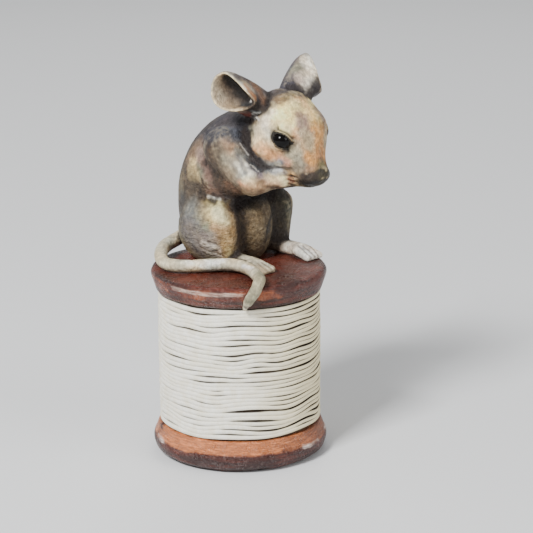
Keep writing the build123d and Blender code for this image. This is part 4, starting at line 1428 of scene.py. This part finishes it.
# The dark wash in the fine hollows, painted shade in the wide hollows, and the dry brush on the high spots
wash = share_between(hollow_fine, 0.012, 0.09) * 0.60 + share_between(hollow_wide, 0.10, 0.80) * 0.55
brush(np.clip(wash * (1 - 0.85 * inside), 0, 0.92), (34, 25, 22))
high_spots = share_between(-hollow_fine, 0.014, 0.08) * (0.16 + 0.10 * only_on("head"))
brush(high_spots * (paint.mean(axis=1) > 0.06), (240, 224, 186))

glint = {"glint in the ear": ([(250, 102.3)], 0.30, (255, 255, 255), 1.0)}
paint_strokes(glint, points, 1 - on_left)

# %% Lids
# A near-black edge, above it a thin pale line and a dark crease, and a soft grey line below the eye
upper_lid = eye_ups > 0.05
lower_lid = eye_ups < -0.05
brush(soft((eye_gaps - 1.10) / 0.12) * 0.98, (14, 11, 11))
brush(soft(np.abs(eye_gaps - 1.29) / 0.09) * upper_lid * 0.6, (206, 194, 164))
brush(soft(np.abs(eye_gaps - fold_line) / 0.09) * upper_lid * 0.85, (50, 42, 38))
brush(soft(np.abs(eye_gaps - 1.25) / 0.22) * lower_lid * 0.5, (110, 98, 86))
paint = np.clip(paint, 0, 1)

attribute = skin.data.color_attributes.new("paint", "FLOAT_COLOR", "POINT")
attribute.data.foreach_set("color", np.column_stack([paint, np.ones(len(paint))]).ravel())
hair_layer = skin.data.attributes.new("hair", "FLOAT", "POINT")
hair_layer.data.foreach_set("value", only_on("torso", "haunch_right", "haunch_left", rounds=10))
print("painted points:", len(paint))

# %% [markdown]
# The real figurine's parts are glued and painted over, so no seam shows. The one skin is therefore made
# first and cut into the cast parts afterwards: each face goes to its nearest part, the border between two
# parts is evened out, and each cut is closed inside.

# %% Cutting the skin into its cast parts
for name in cast_parts:
    skin.data.materials.append(bpy.data.materials.new("label " + name))
label_share = np.zeros((len(points), len(cast_parts)))
label_share[np.arange(len(points)), part_of] = 1
label_share = np.column_stack([relaxed(label_share[:, n:n + 1], 12)[:, 0] for n in range(len(cast_parts))])
corner_of = np.empty(len(skin.data.loops), dtype=int)
skin.data.loops.foreach_get("vertex_index", corner_of)
starts = np.empty(len(skin.data.polygons), dtype=int)
skin.data.polygons.foreach_get("loop_start", starts)
face_share = np.add.reduceat(label_share[corner_of], starts, axis=0)
skin.data.polygons.foreach_set("material_index", face_share.argmax(axis=1).astype(np.int32))
pick(skin)
bpy.ops.object.shade_smooth()
edit_all(skin, (bpy.ops.mesh.separate, {"type": "MATERIAL"}))
cast = {}
for thing in list(bpy.context.selected_objects):
    label = thing.data.materials[thing.data.polygons[0].material_index].name.replace("label ", "")
    thing.name = "mouse_" + label
    thing.data.name = "mouse_" + label
    cast[label] = thing


def close_cuts(thing):
    """Closes the open cuts of a piece, and keeps their edges sharp so that its skin shades evenly."""
    shape = bmesh.new()
    shape.from_mesh(thing.data)
    open_edges = [edge for edge in shape.edges if len(edge.link_faces) == 1]
    filled_in = bmesh.ops.holes_fill(shape, edges=open_edges, sides=0)["faces"]
    bmesh.ops.triangulate(shape, faces=filled_in)
    for edge in open_edges:
        edge.smooth = False
    for vertex in [v for v in shape.verts if not v.link_faces]:
        shape.verts.remove(vertex)
    odd_edges = sum(len(edge.link_faces) != 2 for edge in shape.edges)
    shape.to_mesh(thing.data)
    shape.free()
    return odd_edges


for thing in cast.values():
    odd_edges = close_cuts(thing)
    print(thing.name, len(thing.data.polygons), "faces, edges not shared by two of them:", odd_edges)

# %% [markdown]
# The mouse's finish carries the hand-laid paint as a colour attribute. The shader only adds what is finer
# than the mesh: speckle from a stippling brush, faint hair strokes on the body, and a varying satin sheen.

# %% Mouse finish
mouse_finish, tree, shader, place = material("mouse paint, stippled and washed", 0.5)
shader.inputs["Specular IOR Level"].default_value = 0.35
paint_layer = tree.nodes.new("ShaderNodeVertexColor")
paint_layer.layer_name = "paint"
laid = paint_layer.outputs["Color"]


def turned_place(rotation, scale):
    """The object's coordinates, turned by degrees about X, Y and Z and stretched."""
    made = tree.nodes.new("ShaderNodeMapping")
    made.inputs["Rotation"].default_value = [math.radians(angle) for angle in rotation]
    made.inputs["Scale"].default_value = scale
    tree.links.new(place, made.inputs["Vector"])
    return made.outputs[0]


spots = use_group(tree, mottle, turned_place((25, 35, 0), (1, 1, 0.7)), Blotch_Scale=1250, Speckle_Scale=3400)
patches = use_group(tree, mottle, place, Blotch_Scale=420, Speckle_Scale=1900)
shaded = mixed(tree, 1.0, laid, (0.46, 0.42, 0.40), "MULTIPLY")
brightened = mixed(tree, 1.0, laid, (1.26, 1.22, 1.12), "MULTIPLY")
coat = mixed(tree, times(tree, spots["Blotch"], 0.50), brightened, shaded)
coat = mixed(tree, times(tree, patches["Speckle"], 0.30), coat, shaded)
coat = mixed(tree, times(tree, spots["Speckle"], 0.22), coat, shaded)
tree.links.new(coat, shader.inputs["Base Color"])
tree.links.new(scaled(tree, patches["Blotch"], 0.22, 0.38), shader.inputs["Roughness"])
hairs = noise_node(tree, turned_place((38, 0, 12), (1, 0.16, 1)), 1500, 3, 0.6)
hair_mask = tree.nodes.new("ShaderNodeAttribute")
hair_mask.attribute_name = "hair"
relief = times(tree, ramp(tree, hairs, 0.35, 0.65), hair_mask.outputs["Fac"])
relief = plus(tree, relief, times(tree, spots["Blotch"], 0.9))
relief = plus(tree, relief, times(tree, spots["Speckle"], 0.5))
bump(tree, shader, relief, 0.15 * mm)
for label, thing in cast.items():
    thing.data.materials.clear()
    thing.data.materials.append(mouse_finish)
    hand_over(thing, "mouse_paint", label)
print("mouse finish on", len(cast), "pieces")

# %% [markdown]
# The eyes are beads, lacquered black. A plain ball would look dead, so each bulges a little more at its
# front, like a real eye, and its lacquer mirrors the lamp as a small spark.

# %% Eyes
eye_finish, tree, shader, place = material("black lacquer", 0.07)
cloudy = noise_node(tree, place, 700, 2)
tree.links.new(mixed(tree, cloudy, colour(3, 3, 3), colour(12, 9, 8)), shader.inputs["Base Color"])
shader.inputs["Specular IOR Level"].default_value = 0.16
bead_radius = eye_radius * 0.985
front_bulge = 0.05
for side, middle in eye_middles.items():
    sign = -1 if side == "right" else 1
    look = Vector((sign * 0.9, -0.42, 0.05)).normalized()
    bpy.ops.mesh.primitive_uv_sphere_add(segments=64, ring_count=40, radius=bead_radius, location=middle)
    bead = bpy.context.object
    bpy.ops.object.transform_apply(location=True, rotation=True, scale=True)
    around = points_of(bead.data) - np.array(middle)
    front = (around @ np.array(look)) / eye_radius
    bulge = 1 + front_bulge * share_between(front, 0.55, 0.95)
    set_points(bead.data, np.array(middle) + around * bulge[:, None])
    bead.name = "eye_bead_" + side
    bpy.ops.object.shade_smooth()
    bead.data.materials.append(eye_finish)
    hand_over(bead, "eye_gloss", "eye_" + side)
print("eyes:", len(eye_middles))

# %% [markdown]
# What is left are parts that hardly show: the spindle, the layers of thread below, the felt pad and the
# pins. They keep their measured shapes and get proper finishes.

# %% Hidden parts
wood_cards = [(196, 158, 112), (150, 108, 68)]
wood_finish = two_tone("bare turned wood", 0.6, streaks, "Broad", wood_cards, Scale=90, Stretch=0.15)[0]

felt_cards = [(34, 66, 44), (58, 92, 64)]
felt_finish, tree, shader, fuzz = two_tone(
    "green felt", 0.95, mottle, "Speckle", felt_cards, Blotch_Scale=500, Speckle_Scale=3500
)
bump(tree, shader, fuzz["Speckle"], 0.2 * mm)

steel_cards = [(180, 180, 178), (140, 140, 140)]
steel_finish, tree, shader = two_tone(
    "drawn wire", 0.35, mottle, "Blotch", steel_cards, Blotch_Scale=700, Speckle_Scale=4000
)[:3]
shader.inputs["Metallic"].default_value = 1

hidden_finishes = {"barrel": wood_finish, "base_pad": felt_finish, "thread_core": core_finish}
for pins in ("seat_pins", "neck_pin", "foreleg_pins", "haunch_pins", "tail_pin"):
    hidden_finishes[pins] = steel_finish
for node, finish in hidden_finishes.items():
    nodes[node].data.materials.clear()
    nodes[node].data.materials.append(finish)
print("hidden parts with a finish:", len(hidden_finishes))
